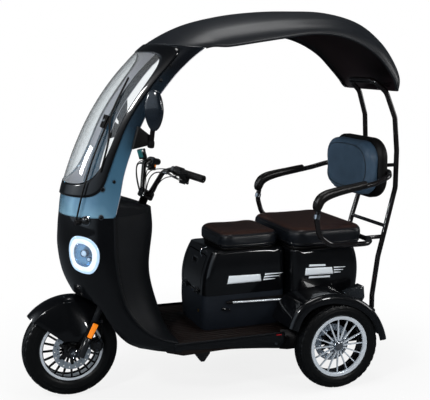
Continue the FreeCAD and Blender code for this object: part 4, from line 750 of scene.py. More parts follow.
def lamp_skin(side, across, up, lift):
    """The skin's point at a distance across and above the middle of a lamp, found by a few Newton steps."""
    place, degrees = LAMP_MIDDLE

    def flat(where, turn):
        point = skin_place(where, turn)
        return Vector(((point.x + point.y) * math.sqrt(0.5), point.z))

    middle = flat(*LAMP_MIDDLE)
    middle.y = LAMP_HEIGHT
    target = middle + Vector((across, up))
    for _ in range(5):
        here = flat(place, degrees)
        slope = Matrix((flat(place + 0.01, degrees) - here, flat(place, degrees + 0.1) - here)).transposed()
        step = slope.inverted() @ (target - here)
        place += step.x * 0.01
        degrees += step.y * 0.1
    point = on_skin(place, degrees, lift)
    return Vector((side * point.x, point.y, point.z))


def lamp_place(side, turn, scale, lift):
    """A point on the lamp's rounded outline, drawn in by a scale."""
    count = len(LAMP_OUTLINE)
    index = int(turn * count) % count
    share = turn * count - int(turn * count)
    point = catmull_rom(*[Vector(LAMP_OUTLINE[(index + k) % count]) for k in (-1, 0, 1, 2)], share)
    return lamp_skin(side, point.x * scale * LAMP_HALF_WIDTH, point.y * scale * LAMP_HALF_HEIGHT, lift)


def lamp_ring(name, side, section, material, replaces=()):
    """A ring that follows the lamp's outline; its closed section is given as (scale, lift)."""
    count = len(section)

    def corner(u, v):
        scale, lift = section[min(int(round(v * (count - 1))), count - 1)]
        return lamp_place(side, u, scale, lift)

    bm = shaped_grid(72, count - 1, corner, closed=True)
    return new_piece(name, bm, material, "root", replaces, smooth=50)


class SCOOTER_OT_headlamps(bpy.types.Operator):
    """Headlamps: glowing rings, reflector bowl, projectors and the clear cover"""
    bl_idname = "scooter.headlamps"
    bl_label = "Headlamps"

    def execute(self, context):
        for side, name in SIDES:
            lamp_ring("lamp_gasket_" + name, side, [
                (1.04, 0.0), (1.04, 0.0025), (1.0, 0.003), (1.0, 0.0), (1.04, 0.0)], "grained_pp_dark")
            lamp_ring("lamp_halo_" + name, side, [
                (1.0, -0.001), (1.0, 0.005), (0.985, 0.008), (0.95, 0.0095), (0.90, 0.0095), (0.87, 0.009),
                (0.86, 0.006), (0.86, -0.002), (1.0, -0.001)], "lamp_halo",
                replaces=("headlamps",) if side > 0 else ())
            lamp_ring("lamp_ring_" + name, side, [
                (0.855, -0.002), (0.855, 0.009), (0.83, 0.012), (0.76, 0.0135), (0.68, 0.013), (0.62, 0.010),
                (0.60, 0.004), (0.59, -0.006), (0.855, -0.002)], "lamp_ring")
            lamp_ring("lamp_bowl_" + name, side, [
                (0.60, 0.004), (0.57, -0.004), (0.5, -0.012), (0.38, -0.020), (0.2, -0.024), (0.02, -0.025),
                (0.02, -0.027), (0.62, -0.008), (0.60, 0.004)], "lamp_reflector")
            lamp_ring("lamp_cover_" + name, side, [
                (0.01, 0.0135), (0.2, 0.0132), (0.4, 0.012), (0.55, 0.010), (0.615, 0.0075), (0.60, 0.006),
                (0.4, 0.0105), (0.2, 0.0117), (0.01, 0.012), (0.01, 0.0135)], "lamp_lens")
            self.projector("lamp_projector_" + name, side, 0.0, 0.006, 0.017)
            self.projector("lamp_position_" + name, side, 0.024, -0.018, 0.009)
        return {"FINISHED"}

    def projector(self, name, side, across, up, radius):
        """A short barrel with a domed lens, standing in the bowl."""
        back, front = lamp_skin(side, across, up, -0.022), lamp_skin(side, across, up, -0.004)
        axis = front - back
        reach = axis.length
        barrel = turned([
            (0.0, 0.0), (0.0, radius), (reach, radius), (reach + 0.002, radius * 0.93),
            (reach, radius * 0.84),
            (reach - 0.003, radius * 0.8), (reach - 0.003, 0.0)], back, axis, 32)
        new_piece(name, barrel, "lamp_barrel")
        dome = turned([
            (reach - 0.003, radius * 0.8), (reach + 0.002, radius * 0.66), (reach + 0.0045, radius * 0.38),
            (reach + 0.0055, 0.0)], back, axis, 32)
        new_piece(name + "_lens", dome, "lamp_glass")


WHEELS = {
    "front": {"body": "front_wheel", "middle": FRONT_AXLE, "half": 36, "radius": 219.5, "width": 92,
        "sides": (-1, 1)},
    "rear_left": {"body": "rear_wheel_left", "middle": REAR_AXLE, "half": 35, "radius": 206.5, "width": 84,
                  "sides": (1,)},
    "rear_right": {"body": "rear_wheel_right", "middle": Vector((-REAR_AXLE.x, REAR_AXLE.y, REAR_AXLE.z)),
        "half": 35,
                   "radius": 206.5, "width": 84, "sides": (-1,)},
}
# A tyre's side from the bead to the tread's edge: how far it swells, and how far up it is.
SIDE_WALL = [
    (0.0, 0.0), (0.30, 0.045), (0.62, 0.14), (0.85, 0.27), (0.97, 0.40), (1.0, 0.50), (1.05, 0.53),
    (1.0, 0.56),
    (0.95, 0.70), (0.90, 0.755), (0.93, 0.775), (0.86, 0.82), (0.74, 0.93), (0.62, 1.0)]
TREAD_STEPS = 216


def in_metres(profile):
    return [(across * MM, radius * MM) for across, radius in profile]


def tyre_form(wheel, groove):
    """The tyre's section turned round its axle, with grooves across the shoulders and the crown."""
    seat, swell = wheel["half"] - 4, wheel["width"] / 2 + 0.7
    tread_edge = wheel["radius"] - 11
    side = [(seat + (swell - seat) * share, 144.5 + (tread_edge - 144.5) * up) for share, up in SIDE_WALL]
    reach = side[-1][0]
    crown = []
    for across, deep in ((0.92, 0), (0.84, 0), (0.825, 1), (0.76, 1), (0.745, 0), (0.6, 0), (0.42, 0),
        (0.26, 0),
                         (0.245, 1), (0.18, 1), (0.165, 0), (0.0, 0)):
        radius = wheel["radius"] - 11 * across ** 2 - deep * groove / MM
        crown.append((reach * across, radius))
    half = [(seat, 140.5)] + side + crown
    profile = half + [(-across, radius) for across, radius in half[-2::-1]] + [half[0]]
    bm = turned(in_metres(profile), wheel["middle"], X_AXIS, TREAD_STEPS)
    for vert in bm.verts:
        offset = vert.co - wheel["middle"]
        share = abs(offset.x) / (reach * MM)
        flat = Vector((0, offset.y, offset.z))
        if flat.length < (tread_edge - 7) * MM:
            continue
        column = round(math.atan2(flat.z, flat.y) / (2 * math.pi) * TREAD_STEPS)
        slant = round(share * 3) if share < 0.8 else 0
        period, cut = (6, 2) if share > 0.8 else (8, 1)
        if (column + slant) % period < cut and not 0.17 < share < 0.25:
            vert.co -= flat.normalized() * groove * 0.8
    return bm


def spun(bm, count, middle, axis=X_AXIS):
    """Repeat the whole form round an axis."""
    bmesh.ops.spin(
        bm, geom=bm.verts[:] + bm.edges[:] + bm.faces[:], cent=middle, axis=axis,
        angle=2 * math.pi * (count - 1) / count, steps=count - 1, use_duplicate=True)
    return bm


def tapered_bar(start, end, side, first, last=None, soft=0.0):
    """A bar from one point to another; its width runs along a side, and its ends have (width, thickness)."""
    bm = bmesh.new()
    bmesh.ops.create_cube(bm, size=1.0)
    along = end - start
    side = (side - along * side.dot(along) / along.length_squared).normalized()
    up = along.normalized().cross(side)
    for vert in bm.verts:
        width, thick = first if vert.co.z < 0 else last or first
        vert.co = start + along * (vert.co.z + 0.5) + side * vert.co.x * width + up * vert.co.y * thick
    if soft:
        soft_edges(bm, soft, 2)
    bmesh.ops.recalc_face_normals(bm, faces=bm.faces)
    return bm


def plate_form(corners, depth):
    """A flat outline pushed along a vector."""
    bm = bmesh.new()
    face = bm.faces.new([bm.verts.new(corner) for corner in corners])
    pushed = bmesh.ops.extrude_face_region(bm, geom=[face])["geom"]
    bmesh.ops.translate(bm, vec=depth,
        verts=[item for item in pushed if isinstance(item, bmesh.types.BMVert)])
    bmesh.ops.recalc_face_normals(bm, faces=bm.faces)
    return bm


def soft_edges(bm, width, segments):
    """Round every edge of a form."""
    bmesh.ops.bevel(bm, geom=bm.edges[:], offset=width, segments=segments, profile=0.5, affect="EDGES",
        material=-1)
    return bm


def join_forms(bm, *others):
    """Add other forms to the first one."""
    for other in others:
        mesh = bpy.data.meshes.new("joined")
        other.to_mesh(mesh)
        other.free()
        bm.from_mesh(mesh)
        bpy.data.meshes.remove(mesh)
    return bm


class SCOOTER_OT_wheels(bpy.types.Operator):
    """Tyres with their tread, rims with lips and spokes, and hubs"""
    bl_idname = "scooter.wheels"
    bl_label = "Wheels"

    def execute(self, context):
        groove = context.scene.scooter_sizes.tread_depth
        for name, wheel in WHEELS.items():
            body, middle, half = wheel["body"], wheel["middle"], wheel["half"]
            new_piece(name + "_tread", tyre_form(wheel, groove), "tyre_rubber", body, (name + "_tyre",),
                smooth=28)
            barrel = turned(in_metres([
                (-half, 144), (3.6 - half, 144), (3.6 - half, 140), (half - 3.6, 140), (half - 3.6, 144),
                (half, 144),
                (half, 130), (half - 12, 130), (half - 16, 135), (16 - half, 135), (12 - half, 130),
                (-half, 130),
                (-half, 144)]), middle, X_AXIS, 96)
            new_piece(name + "_barrel", barrel, "gloss_black_metal", body, (name + "_rim",))
            for side in wheel["sides"]:
                self.lip(name, wheel, side)
            if name == "front":
                self.front_middle(wheel)
            else:
                self.rear_middle(name, wheel)
        return {"FINISHED"}

    def lip(self, name, wheel, side):
        """The bright ring that faces outwards."""
        half = wheel["half"]
        inner = 131.5 if name == "front" else 128.0
        profile = [
            (half - 1.5, 144.8), (half + 0.8, 145), (half + 2.2, 144), (half + 2.6, 142), (half + 1.6, 138),
            (half + 0.6, inner + 3), (half - 0.8, inner + 0.5), (half - 4, inner - 1),
            (half - 12, inner - 0.4),
            (half - 12, inner + 1.5), (half - 1.5, inner + 2.5), (half - 1.5, 144.8)]
        ring = turned(in_metres([(side * across, radius) for across, radius in profile]), wheel["middle"],
            X_AXIS, 120)
        label = name + "_lip" if len(wheel["sides"]) == 1 else "%s_lip_%s" % (name,
            "left" if side > 0 else "right")
        new_piece(label, ring, "polished_alloy", wheel["body"])

    def front_middle(self, wheel):
        """Black spokes, the dark hub and bright strips inside the barrel."""
        middle, body = wheel["middle"], wheel["body"]
        spokes = spun(tapered_bar(
            middle + Vector((0.019, 0, 0.030)), middle + Vector((0.019, 0, 0.1365)), Y_AXIS,
            (0.010, 0.012), (0.0085, 0.010), 0.0015), 20, middle)
        new_piece("front_spokes", spokes, "gloss_black_metal", body)
        hub = turned(in_metres([
            (-68, 8.6), (-68, 22), (-66, 24), (-34, 24), (-30, 33), (-26, 36), (22, 36), (27, 34), (31, 26),
            (40, 24),
            (66, 24), (68, 22), (68, 8.6), (-68, 8.6)]), middle, X_AXIS, 64)
        new_piece("front_hub", hub, "gloss_black_metal", body)
        inner = turned(in_metres([(-19, 134.9), (-19, 134.2), (18, 134.2), (18, 134.9), (-19, 134.9)]),
            middle, X_AXIS, 96)
        new_piece("front_barrel_liner", inner, "polished_alloy", body)

    def rear_middle(self, name, wheel):
        """Thin silver spokes, the polished hub with its four studs, and the grey cap."""
        middle, body, side = wheel["middle"], wheel["body"], wheel["sides"][0]
        spokes = spun(tapered_bar(
            middle + Vector((side * 0.021, 0, 0.024)), middle + Vector((side * 0.019, 0, 0.1355)), Y_AXIS,
            (0.0070, 0.009), (0.0042, 0.007), 0.0010), 16, middle)
        new_piece(name + "_spokes", spokes, "polished_alloy", body)
        profile = [
            (-47, 8.6), (-47, 22), (-31, 24), (-26, 36), (9, 36), (15, 31), (22, 27), (29, 24.5), (34, 21),
            (36, 17.5),
            (36, 15.4), (33, 15.4), (33, 8.6), (-47, 8.6)]
        hub = turned(in_metres([(side * across, radius) for across, radius in profile]), middle, X_AXIS, 64)
        new_piece(name + "_hub", hub, "chrome", body)
        cap_profile = [(32, 0), (32, 15), (38.5, 15), (40, 13.6), (40.4, 0)]
        cap = turned(in_metres([(side * across, radius) for across, radius in cap_profile]), middle, X_AXIS,
            40)
        new_piece(name + "_cap", cap, "satin_grey_pp", body)
        stud = turned(
            in_metres([(14, 0), (14, 6.5), (30, 6.5), (31.5, 5), (31.5, 3.4), (34, 3.4), (34.6, 2.6),
                (34.6, 0)]),
            middle + Vector((0, 0.024, 0.024)), X_AXIS * side, 12)
        new_piece(name + "_studs", spun(stud, 4, middle), "chrome", body)


class SCOOTER_OT_brakes(bpy.types.Operator):
    """Drilled brake discs on their carriers, and the front caliper with its hose"""
    bl_idname = "scooter.brakes"
    bl_label = "Brakes"

    def execute(self, context):
        for name, wheel in WHEELS.items():
            middle, body = wheel["middle"], wheel["body"]
            place = {"front": 44, "rear_left": -38, "rear_right": 38}[name]
            ring = turned(in_metres([
                (place - 2, 59), (place - 1.6, 58), (place + 1.6, 58), (place + 2, 59), (place + 2, 87),
                (place + 1.6, 88), (place - 1.6, 88), (place - 2, 87), (place - 2, 59)]), middle, X_AXIS, 96)
            disc = new_piece(name + "_disc_ring", ring, "brushed_disc", body, (name + "_disc",))
            holes = bmesh.new()
            for radius, turn in ((66, 0.0), (79, math.pi / 18)):
                hole = bmesh.new()
                bmesh.ops.create_cone(
                    hole, cap_ends=True, segments=10, radius1=0.0028, radius2=0.0028, depth=0.012,
                    matrix=Matrix.Rotation(math.pi / 2, 4, "Y"))
                offset = Vector((place * MM, math.sin(turn) * radius * MM, math.cos(turn) * radius * MM))
                bmesh.ops.translate(hole, vec=middle + offset, verts=hole.verts)
                join_forms(holes, spun(hole, 18, middle))
            cut_with(disc, holes)
            disc.data.set_sharp_from_angle(angle=math.radians(35))
            arm = tapered_bar(
                middle + Vector((place * MM, 0, 0.032)), middle + Vector((place * MM, 0, 0.066)), Y_AXIS,
                (0.020, 0.0052), (0.013, 0.0052), 0.001)
            eye = turned(in_metres([(place - 3, 24.2), (place - 3, 38), (place + 3, 38), (place + 3, 24.2),
                                    (place - 3, 24.2)]), middle, X_AXIS, 48)
            new_piece(name + "_disc_carrier", join_forms(spun(arm, 6, middle), eye), "gloss_black_metal",
                body)
        self.caliper()
        return {"FINISHED"}

    def caliper(self):
        """The front caliper, on a bracket behind the fork's left leg."""
        outline = [(-0.028, 0.024), (0.006, 0.034), (0.030, 0.012), (0.022, -0.026), (-0.010, -0.034),
            (-0.030, -0.014)]
        middle = Vector((0.0, FRONT_AXLE.y + 0.112, FRONT_AXLE.z + 0.016))
        for name, low, high, scale, material in (
                ("caliper_body", 0.047, 0.066, 1.0, "gloss_black_metal"),
                ("caliper_cover", 0.066, 0.071, 0.72, "grey_paint"),
                ("caliper_back", 0.030, 0.041, 0.9, "gloss_black_metal")):
            corners = [middle + Vector((low, across * scale, up * scale)) for across, up in outline]
            new_piece(name, soft_edges(plate_form(corners, X_AXIS * (high - low)), 0.003, 3), material,
                "steering")
        bridge = box_form(
            (0.030, middle.y + 0.016, middle.z - 0.020), (0.066, middle.y + 0.032, middle.z + 0.014), 0.004)
        new_piece("caliper_bridge", bridge, "gloss_black_metal", "steering")
        bolts = []
        for across, up in ((0.004, 0.016), (-0.004, -0.016)):
            bolt = bmesh.new()
            bmesh.ops.create_cone(
                bolt, cap_ends=True, segments=6, radius1=0.0055, radius2=0.005, depth=0.008,
                matrix=Matrix.Rotation(math.pi / 2, 4, "Y"))
            bmesh.ops.translate(bolt, vec=middle + Vector((0.0735, across, up)), verts=bolt.verts)
            bolts.append(bolt)
        new_piece("caliper_bolts", join_forms(*bolts), "zinc_steel", "steering")
        smooth_tube("brake_hose", [
            (0.056, middle.y + 0.018, middle.z + 0.022), (0.062, middle.y + 0.026, middle.z + 0.050),
            (0.077, -0.566, 0.318), (0.080, -0.574, 0.348), (0.076, -0.582, 0.385), (0.070, -0.590, 0.420)],
            0.0032, "cable_sheath", "steering")
        banjo = turned([
            (-0.006, 0.0), (-0.006, 0.0065), (0.006, 0.0065), (0.008, 0.0050), (0.008, 0.0)],
            middle + Vector((0.058, 0.018, 0.022)), X_AXIS, 16)
        new_piece("hose_fitting", banjo, "zinc_steel", "steering")
        guide = tapered_bar(
            Vector((0.070, -0.590, 0.352)), Vector((0.086, -0.566, 0.352)), Z_AXIS, (0.012, 0.004),
            (0.010, 0.004),
            0.001)
        new_piece("hose_guide", guide, "zinc_steel", "steering")


class SCOOTER_OT_fairing(bpy.types.Operator):
    """Gloss fairing that carries the leg shield's rim on along the floor's edge"""
    bl_idname = "scooter.fairing"
    bl_label = "Floor fairing"

    def execute(self, context):
        front, rear = -0.300, 0.236
        under_floor = Vector((0, -0.05, 0.25))
        # The lower edge, by its share of the way back: height and how far it is drawn in.
        foot = [(0.246, 0.010), (0.234, 0.016), (0.2265, 0.022), (0.2245, 0.026), (0.217, 0.028),
            (0.207, 0.030),
                (0.196, 0.032)]

        def corner(side, u, v):
            """Along the floor's edge from the leg shield to the rear wheel, and down and in below it."""
            low, lean = smooth_between(foot, u * (len(foot) - 1))
            top = 0.282 - 0.003 * u
            bulge = 0.004 * math.sin(math.pi * min(1.0, v * 1.3))
            drawn = lean * v ** 2 + 0.004 * u
            return Vector((side * (0.3205 + bulge - drawn), front + (rear - front) * u,
                top + (low - top) * v))

        def skirt(side, u, v):
            """Below the apron's foot, from near the middle round to the fairing."""
            degrees = 8 + 82 * u
            hung = (0.003 + 0.0395 * max(0.0, (degrees - 28) / 62) ** 1.9) * v
            foot_point = skin_place(0.03, degrees, 0.003)
            inwards = (Vector((0, -0.1, foot_point.z)) - foot_point).normalized() * (0.010 * v ** 2)
            return Vector((side * (foot_point.x + inwards.x), foot_point.y + inwards.y, foot_point.z - hung))

        for side, name in SIDES:
            bm = shaped_grid(48, 10, lambda u, v: skirt(side, u, v))
            add_panel("apron_skirt_" + name, bm, "lacquered_abs", 0.002, middle=under_floor)
            bm = shaped_grid(64, 16, lambda u, v: corner(side, u, v))
            add_panel("floor_fairing_" + name, bm, "lacquered_abs", 0.002, offset=1.0, middle=under_floor)
            points = [corner(side, step / 24, 0.0) + Vector((0, 0, 0.001)) for step in range(25)]
            smooth_tube("floor_bead_" + name, points, context.scene.scooter_sizes.trim_radius * 0.7,
                "grained_pp")
            bolt = domed_bolt(corner(side, 0.93, 0.62), X_AXIS * side, 0.009, 0.005)
            new_piece("fairing_bolt_" + name, bolt, "zinc_steel")
            mark = tapered_bar(
                corner(side, 0.92, 0.08), corner(side, 0.965, 0.08), Z_AXIS, (0.0045, 0.004),
                soft=0.0012)
            new_piece("side_reflector_" + name, mark, "red_lens")
            self.wheel_house(side, name)
        return {"FINISHED"}

    def wheel_house(self, side, name):
        """The dark inner wall beside a rear wheel."""
        bm = bmesh.new()
        low, radius = 0.188, 0.222
        drop = math.asin((REAR_AXLE.z - low) / radius)
        ring = [
            bm.verts.new((side * 0.297, REAR_AXLE.y + radius * math.cos(turn),
                REAR_AXLE.z + radius * math.sin(turn)))
            for turn in (-drop + (math.pi - 0.34 + drop) * step / 60 for step in range(61))]
        ring += [bm.verts.new((side * 0.297, y, z)) for y,
            z in ((0.226, 0.290), (0.222, 0.195), (0.262, low))]
        face = bm.faces.new(ring)
        inset = bmesh.ops.inset_region(bm, faces=[face], thickness=0.018, depth=0.0)["faces"]
        bmesh.ops.translate(
            bm, vec=Vector((-side * 0.006, 0, 0)), verts=list({vert for item in bm.faces if item not in inset
                                                               for vert in item.verts}))
        bmesh.ops.recalc_face_normals(bm, faces=bm.faces)
        wall = new_piece("wheel_house_" + name, bm, "grained_pp_dark")
        add_solid(wall, 0.003, offset=0.0)


def mirrored_form(bm):
    """The form and its mirror image on the other side of the vehicle."""
    bmesh.ops.mirror(bm, geom=bm.verts[:] + bm.edges[:] + bm.faces[:], axis="X", merge_dist=-1.0)
    bmesh.ops.recalc_face_normals(bm, faces=bm.faces)
    return bm


def domed_bolt(point, normal, radius, height):
    """A domed bolt head with a socket."""
    return turned([
        (-0.002, 0.0), (-0.002, radius), (height * 0.4, radius), (height * 0.85, radius * 0.75),
        (height, radius * 0.45),
        (height * 0.6, radius * 0.42), (height * 0.6, 0.0)], point, normal, 20)


class SCOOTER_OT_screen_fittings(bpy.types.Operator):
    """Bolts and washers of the screen, the wiper's pivot covers with their chrome collars, and the clip on the
    wiper
    """
    bl_idname = "scooter.screen_fittings"
    bl_label = "Screen fittings"

    def execute(self, context):
        bolts = bmesh.new()
        for place, degrees in ((8.7, 79.5), (8.4, 67.5), (7.06, 72), (13.08, 72), (12.46, 77)):
            lift = 0.0035 if degrees < 71 and place > 8 else 0.0002
            join_forms(bolts, domed_bolt(on_skin(place, degrees, lift), skin_normal(place, degrees), 0.0075,
                0.005))
        new_piece("screen_bolts", mirrored_form(bolts), "black_oxide")
        washers = bmesh.new()
        for place, degrees in ((8.4, 67.5), (7.06, 72)):
            lift = 0.0035 if place > 8 else 0.0002
            join_forms(washers, turned([
                (0.0, 0.008), (0.0, 0.0115), (0.0012, 0.0115), (0.0016, 0.008), (0.0, 0.008)],
                on_skin(place, degrees, lift), skin_normal(place, degrees), 24))
        new_piece("screen_washers", mirrored_form(washers), "zinc_steel")
        place, degrees = 6.84, 53.5
        dome = turned([
            (-0.002, 0.0), (-0.002, 0.019), (0.004, 0.019), (0.010, 0.015), (0.013, 0.008), (0.014, 0.0)],
            on_skin(place, degrees, 0.0), skin_normal(place, degrees), 32)
        new_piece("wiper_motor_cap", mirrored_form(dome), "gloss_black_metal")
        collar = turned([
            (0.0, 0.0192), (0.0, 0.0225), (0.003, 0.0225), (0.0045, 0.0192), (0.0, 0.0192)],
            on_skin(place, degrees, 0.0), skin_normal(place, degrees), 32)
        new_piece("wiper_motor_collar", mirrored_form(collar), "chrome")
        joint, normal = on_skin(10.85, 42.4, 0.018), skin_normal(10.85, 42.4)
        ahead = (on_skin(11.3, 40.4, 0.018) - joint).normalized()
        clip = tapered_bar(
            joint - ahead * 0.028, joint + ahead * 0.022, normal.cross(ahead), (0.011, 0.011), (0.016, 0.013),
            0.004)
        new_piece("wiper_clip", clip, "grained_pp_dark")
        pin = turned([
            (0.006, 0.0), (0.006, 0.0075), (0.0105, 0.0070), (0.0125, 0.0045), (0.0130, 0.0)], joint, normal,
            20)
        new_piece("wiper_clip_pin", pin, "zinc_steel")
        return {"FINISHED"}


class SCOOTER_OT_front_fittings(bpy.types.Operator):
    """Reflectors on the fork, axle nuts and washers, and fork seals"""
    bl_idname = "scooter.front_fittings"
    bl_label = "Front fittings"

    def execute(self, context):
        for side, name in SIDES:
            top = Vector((side * 0.1085, FRONT_AXLE.y + 0.099, FRONT_AXLE.z + 0.132))
            low = Vector((side * 0.1085, FRONT_AXLE.y + 0.066, FRONT_AXLE.z + 0.070))
            plate = tapered_bar(low, top, Y_AXIS, (0.022, 0.009), (0.026, 0.009))
            new_piece("fork_reflector_" + name, soft_edges(plate, 0.004, 3), "amber_lens", "steering")
            back = tapered_bar(
                low + Vector((-side * 0.006, 0, -0.006)), top + Vector((-side * 0.006, 0, 0.006)), Y_AXIS,
                (0.030, 0.006), (0.034, 0.006), 0.002)
            new_piece("reflector_holder_" + name, back, "grained_pp_dark", "steering")
            foot = Vector((side * 0.1025, FRONT_AXLE.y, FRONT_AXLE.z))
            nut = turned([
                (0.0, 0.0062), (0.0, 0.014), (0.006, 0.014), (0.009, 0.0115), (0.0095, 0.0062),
                (0.0, 0.0062)],
                foot, X_AXIS * side, 6)
            new_piece("axle_nut_" + name, nut, "zinc_steel", "steering")
            ring = turned([
                (0.0, 0.0145), (0.0, 0.0185), (0.002, 0.0185), (0.003, 0.0165), (0.002, 0.0145),
                (0.0, 0.0145)],
                foot, X_AXIS * side, 32)
            new_piece("axle_washer_" + name, ring, "chrome", "steering")
            forward = Vector((0, -STEER_AXIS.z, STEER_AXIS.y)) * 0.024
            ground = STEER_POINT - STEER_AXIS * (STEER_POINT.z / STEER_AXIS.z)
            seal_foot = ground + STEER_AXIS * 0.330 + forward + Vector((side * 0.088, 0, 0))
            seal = turned([
                (0.0, 0.0155), (0.0, 0.0205), (0.008, 0.0205), (0.012, 0.0175), (0.013, 0.0155),
                (0.0, 0.0155)],
                seal_foot, STEER_AXIS, 32)
            new_piece("fork_seal_" + name, seal, "grip_rubber", "steering")
        return {"FINISHED"}


def surface_tree(node):
    """A tree for rays against a CAD node's surface."""
    bm = merged_copy(node)
    tree = BVHTree.FromBMesh(bm)
    bm.free()
    return tree


def film(tree, side, corners, lift=0.0006, columns=16):
    """A thin four-cornered film that lies on a side wall; its corners are (y, z) as seen from that side."""
    low_front, low_rear, high_rear, high_front = (Vector((0, y, z)) for y, z in corners)

    def corner(u, v):
        point = low_front.lerp(low_rear, u).lerp(high_front.lerp(high_rear, u), v)
        hit, normal = tree.ray_cast(Vector((side * 0.6, point.y, point.z)), Vector((-side, 0, 0)))[:2]
        return hit + normal * lift if hit is not None else Vector((side * 0.18, point.y, point.z))

    bm = shaped_grid(columns, 4, corner)
    face_outwards(bm, Vector((0, corners[0][0], 0.5)))
    return bm


class SCOOTER_OT_side_trim(bpy.types.Operator):
    """Silver rods, plain stripes, catches and lock on the bodies under the seats"""
    bl_idname = "scooter.side_trim"
    bl_label = "Side trim"

    def execute(self, context):
        front, rear = surface_tree("front_body"), surface_tree("rear_body")
        for side, name in SIDES:
            stripes = film(front, side, [(0.004, 0.497), (0.176, 0.497), (0.170, 0.531), (0.012, 0.535)])
            for step in range(3):
                y, z = 0.184 + 0.004 * step, 0.499 + 0.0125 * step
                join_forms(stripes, film(front, side, [
                    (y, z), (y + 0.060 + 0.016 * step, z + 0.002), (y + 0.064 + 0.016 * step, z + 0.0045),
                    (y + 0.004, z + 0.008)]))
            add_solid(new_piece("front_stripes_" + name, stripes, "white_film", smooth=0), 0.0003, offset=1.0)
            stripes = film(rear, side, [(0.372, 0.520), (0.520, 0.516), (0.514, 0.549), (0.376, 0.555)])
            join_forms(stripes, film(rear, side,
                [(0.392, 0.561), (0.480, 0.557), (0.478, 0.566), (0.394, 0.571)]))
            join_forms(stripes, film(rear, side,
                [(0.392, 0.504), (0.505, 0.500), (0.505, 0.509), (0.394, 0.513)]))
            for step in range(3):
                z = 0.519 + 0.012 * step
                join_forms(stripes, film(rear, side, [
                    (0.524, z), (0.560 + 0.012 * step, z + 0.0005), (0.562 + 0.012 * step, z + 0.003),
                    (0.523, z + 0.007)]))
            add_solid(new_piece("rear_stripes_" + name, stripes, "white_film", smooth=0), 0.0003, offset=1.0)
            self.rod(side, name)
        smooth_tube("bag_hook", [
            (0.062, -0.052, 0.652), (0.062, -0.074, 0.650), (0.062, -0.086, 0.632), (0.062, -0.080, 0.612),
            (0.062, -0.070, 0.606)], 0.0035, "chrome")
        lock_hit = surface_tree("lower_skirt").ray_cast(Vector((0.100, -0.5, 0.362)), Y_AXIS)[0]
        if lock_hit is not None:
            ring = turned([
                (-0.001, 0.0), (-0.001, 0.0085), (0.002, 0.0085), (0.003, 0.0065), (0.0022, 0.0045),
                (0.001, 0.0012),
                (0.001, 0.0)], lock_hit, Vector((0, -1, 0)), 28)
            new_piece("body_lock", ring, "brass_key")
        return {"FINISHED"}

    def rod(self, side, name):
        """The bright rod along a side, with its black front end and the catch below it."""
        start, end = Vector((side * 0.1865, 0.022, 0.4095)), Vector((side * 0.1885, 0.316, 0.3990))
        rod = turned([
            (0.0, 0.0), (0.0, 0.003), (0.001, 0.0046), (0.292, 0.0046), (0.2935, 0.003), (0.2935, 0.0)],
            start, end - start, 20)
        new_piece("side_rod_" + name, rod, "silver_tape")
        along = (end - start).normalized()
        cap = turned([
            (-0.024, 0.0), (-0.024, 0.005), (-0.022, 0.0075), (0.003, 0.0075), (0.006, 0.006), (0.006, 0.0)],
            start, along, 20)
        new_piece("side_rod_cap_" + name, cap, "grained_pp_dark")
        feet = bmesh.new()
        for reach in (0.03, 0.15, 0.27):
            join_forms(feet, tapered_bar(
                start + along * reach, start + along * reach - Vector((side * 0.014, 0, 0)), Y_AXIS,
                (0.012, 0.006), (0.016, 0.010), 0.001))
        new_piece("side_rod_feet_" + name, feet, "grained_pp_dark")
        place = Vector((side * 0.178, -0.020, 0.3795))
        catch = turned([
            (0.0, 0.0), (0.0, 0.0070), (0.004, 0.0080), (0.008, 0.0045), (0.030, 0.0040), (0.034, 0.0060),
            (0.038, 0.0050), (0.039, 0.0)], place, Vector((0, 1, -0.18)), 18)
        new_piece("side_catch_" + name, catch, "gloss_black_metal")


def mirror_shell(side, middle, shrink, first, last):
    """A closed teardrop form; of its depth the part between the shares first and last is kept."""
    def corner(u, v):
        turn = 2 * math.pi * u
        lean = -1 + 2 * (first + (last - first) * v)
        ring = (1 - abs(lean) ** 3.0) ** (1 / 3.0)
        up = math.sin(turn) * ring
        narrow = 1 - 0.20 * max(0.0, -up) ** 1.5 - 0.05 * max(0.0, up)
        across = math.copysign(abs(math.cos(turn)) ** 0.85, math.cos(turn)) * ring * narrow
        flat = Vector(((0.0425 - shrink) * across, 0.019 * lean, (0.088 - shrink) * up))
        turned_out = Matrix.Rotation(math.radians(48), 3, "Z") @ flat
        return middle + Vector((side * turned_out.x, turned_out.y, turned_out.z))

    bm = shaped_grid(56, 24, corner, closed=True)
    bmesh.ops.holes_fill(bm, edges=[edge for edge in bm.edges if edge.is_boundary], sides=0)
    bmesh.ops.recalc_face_normals(bm, faces=bm.faces)
    return bm


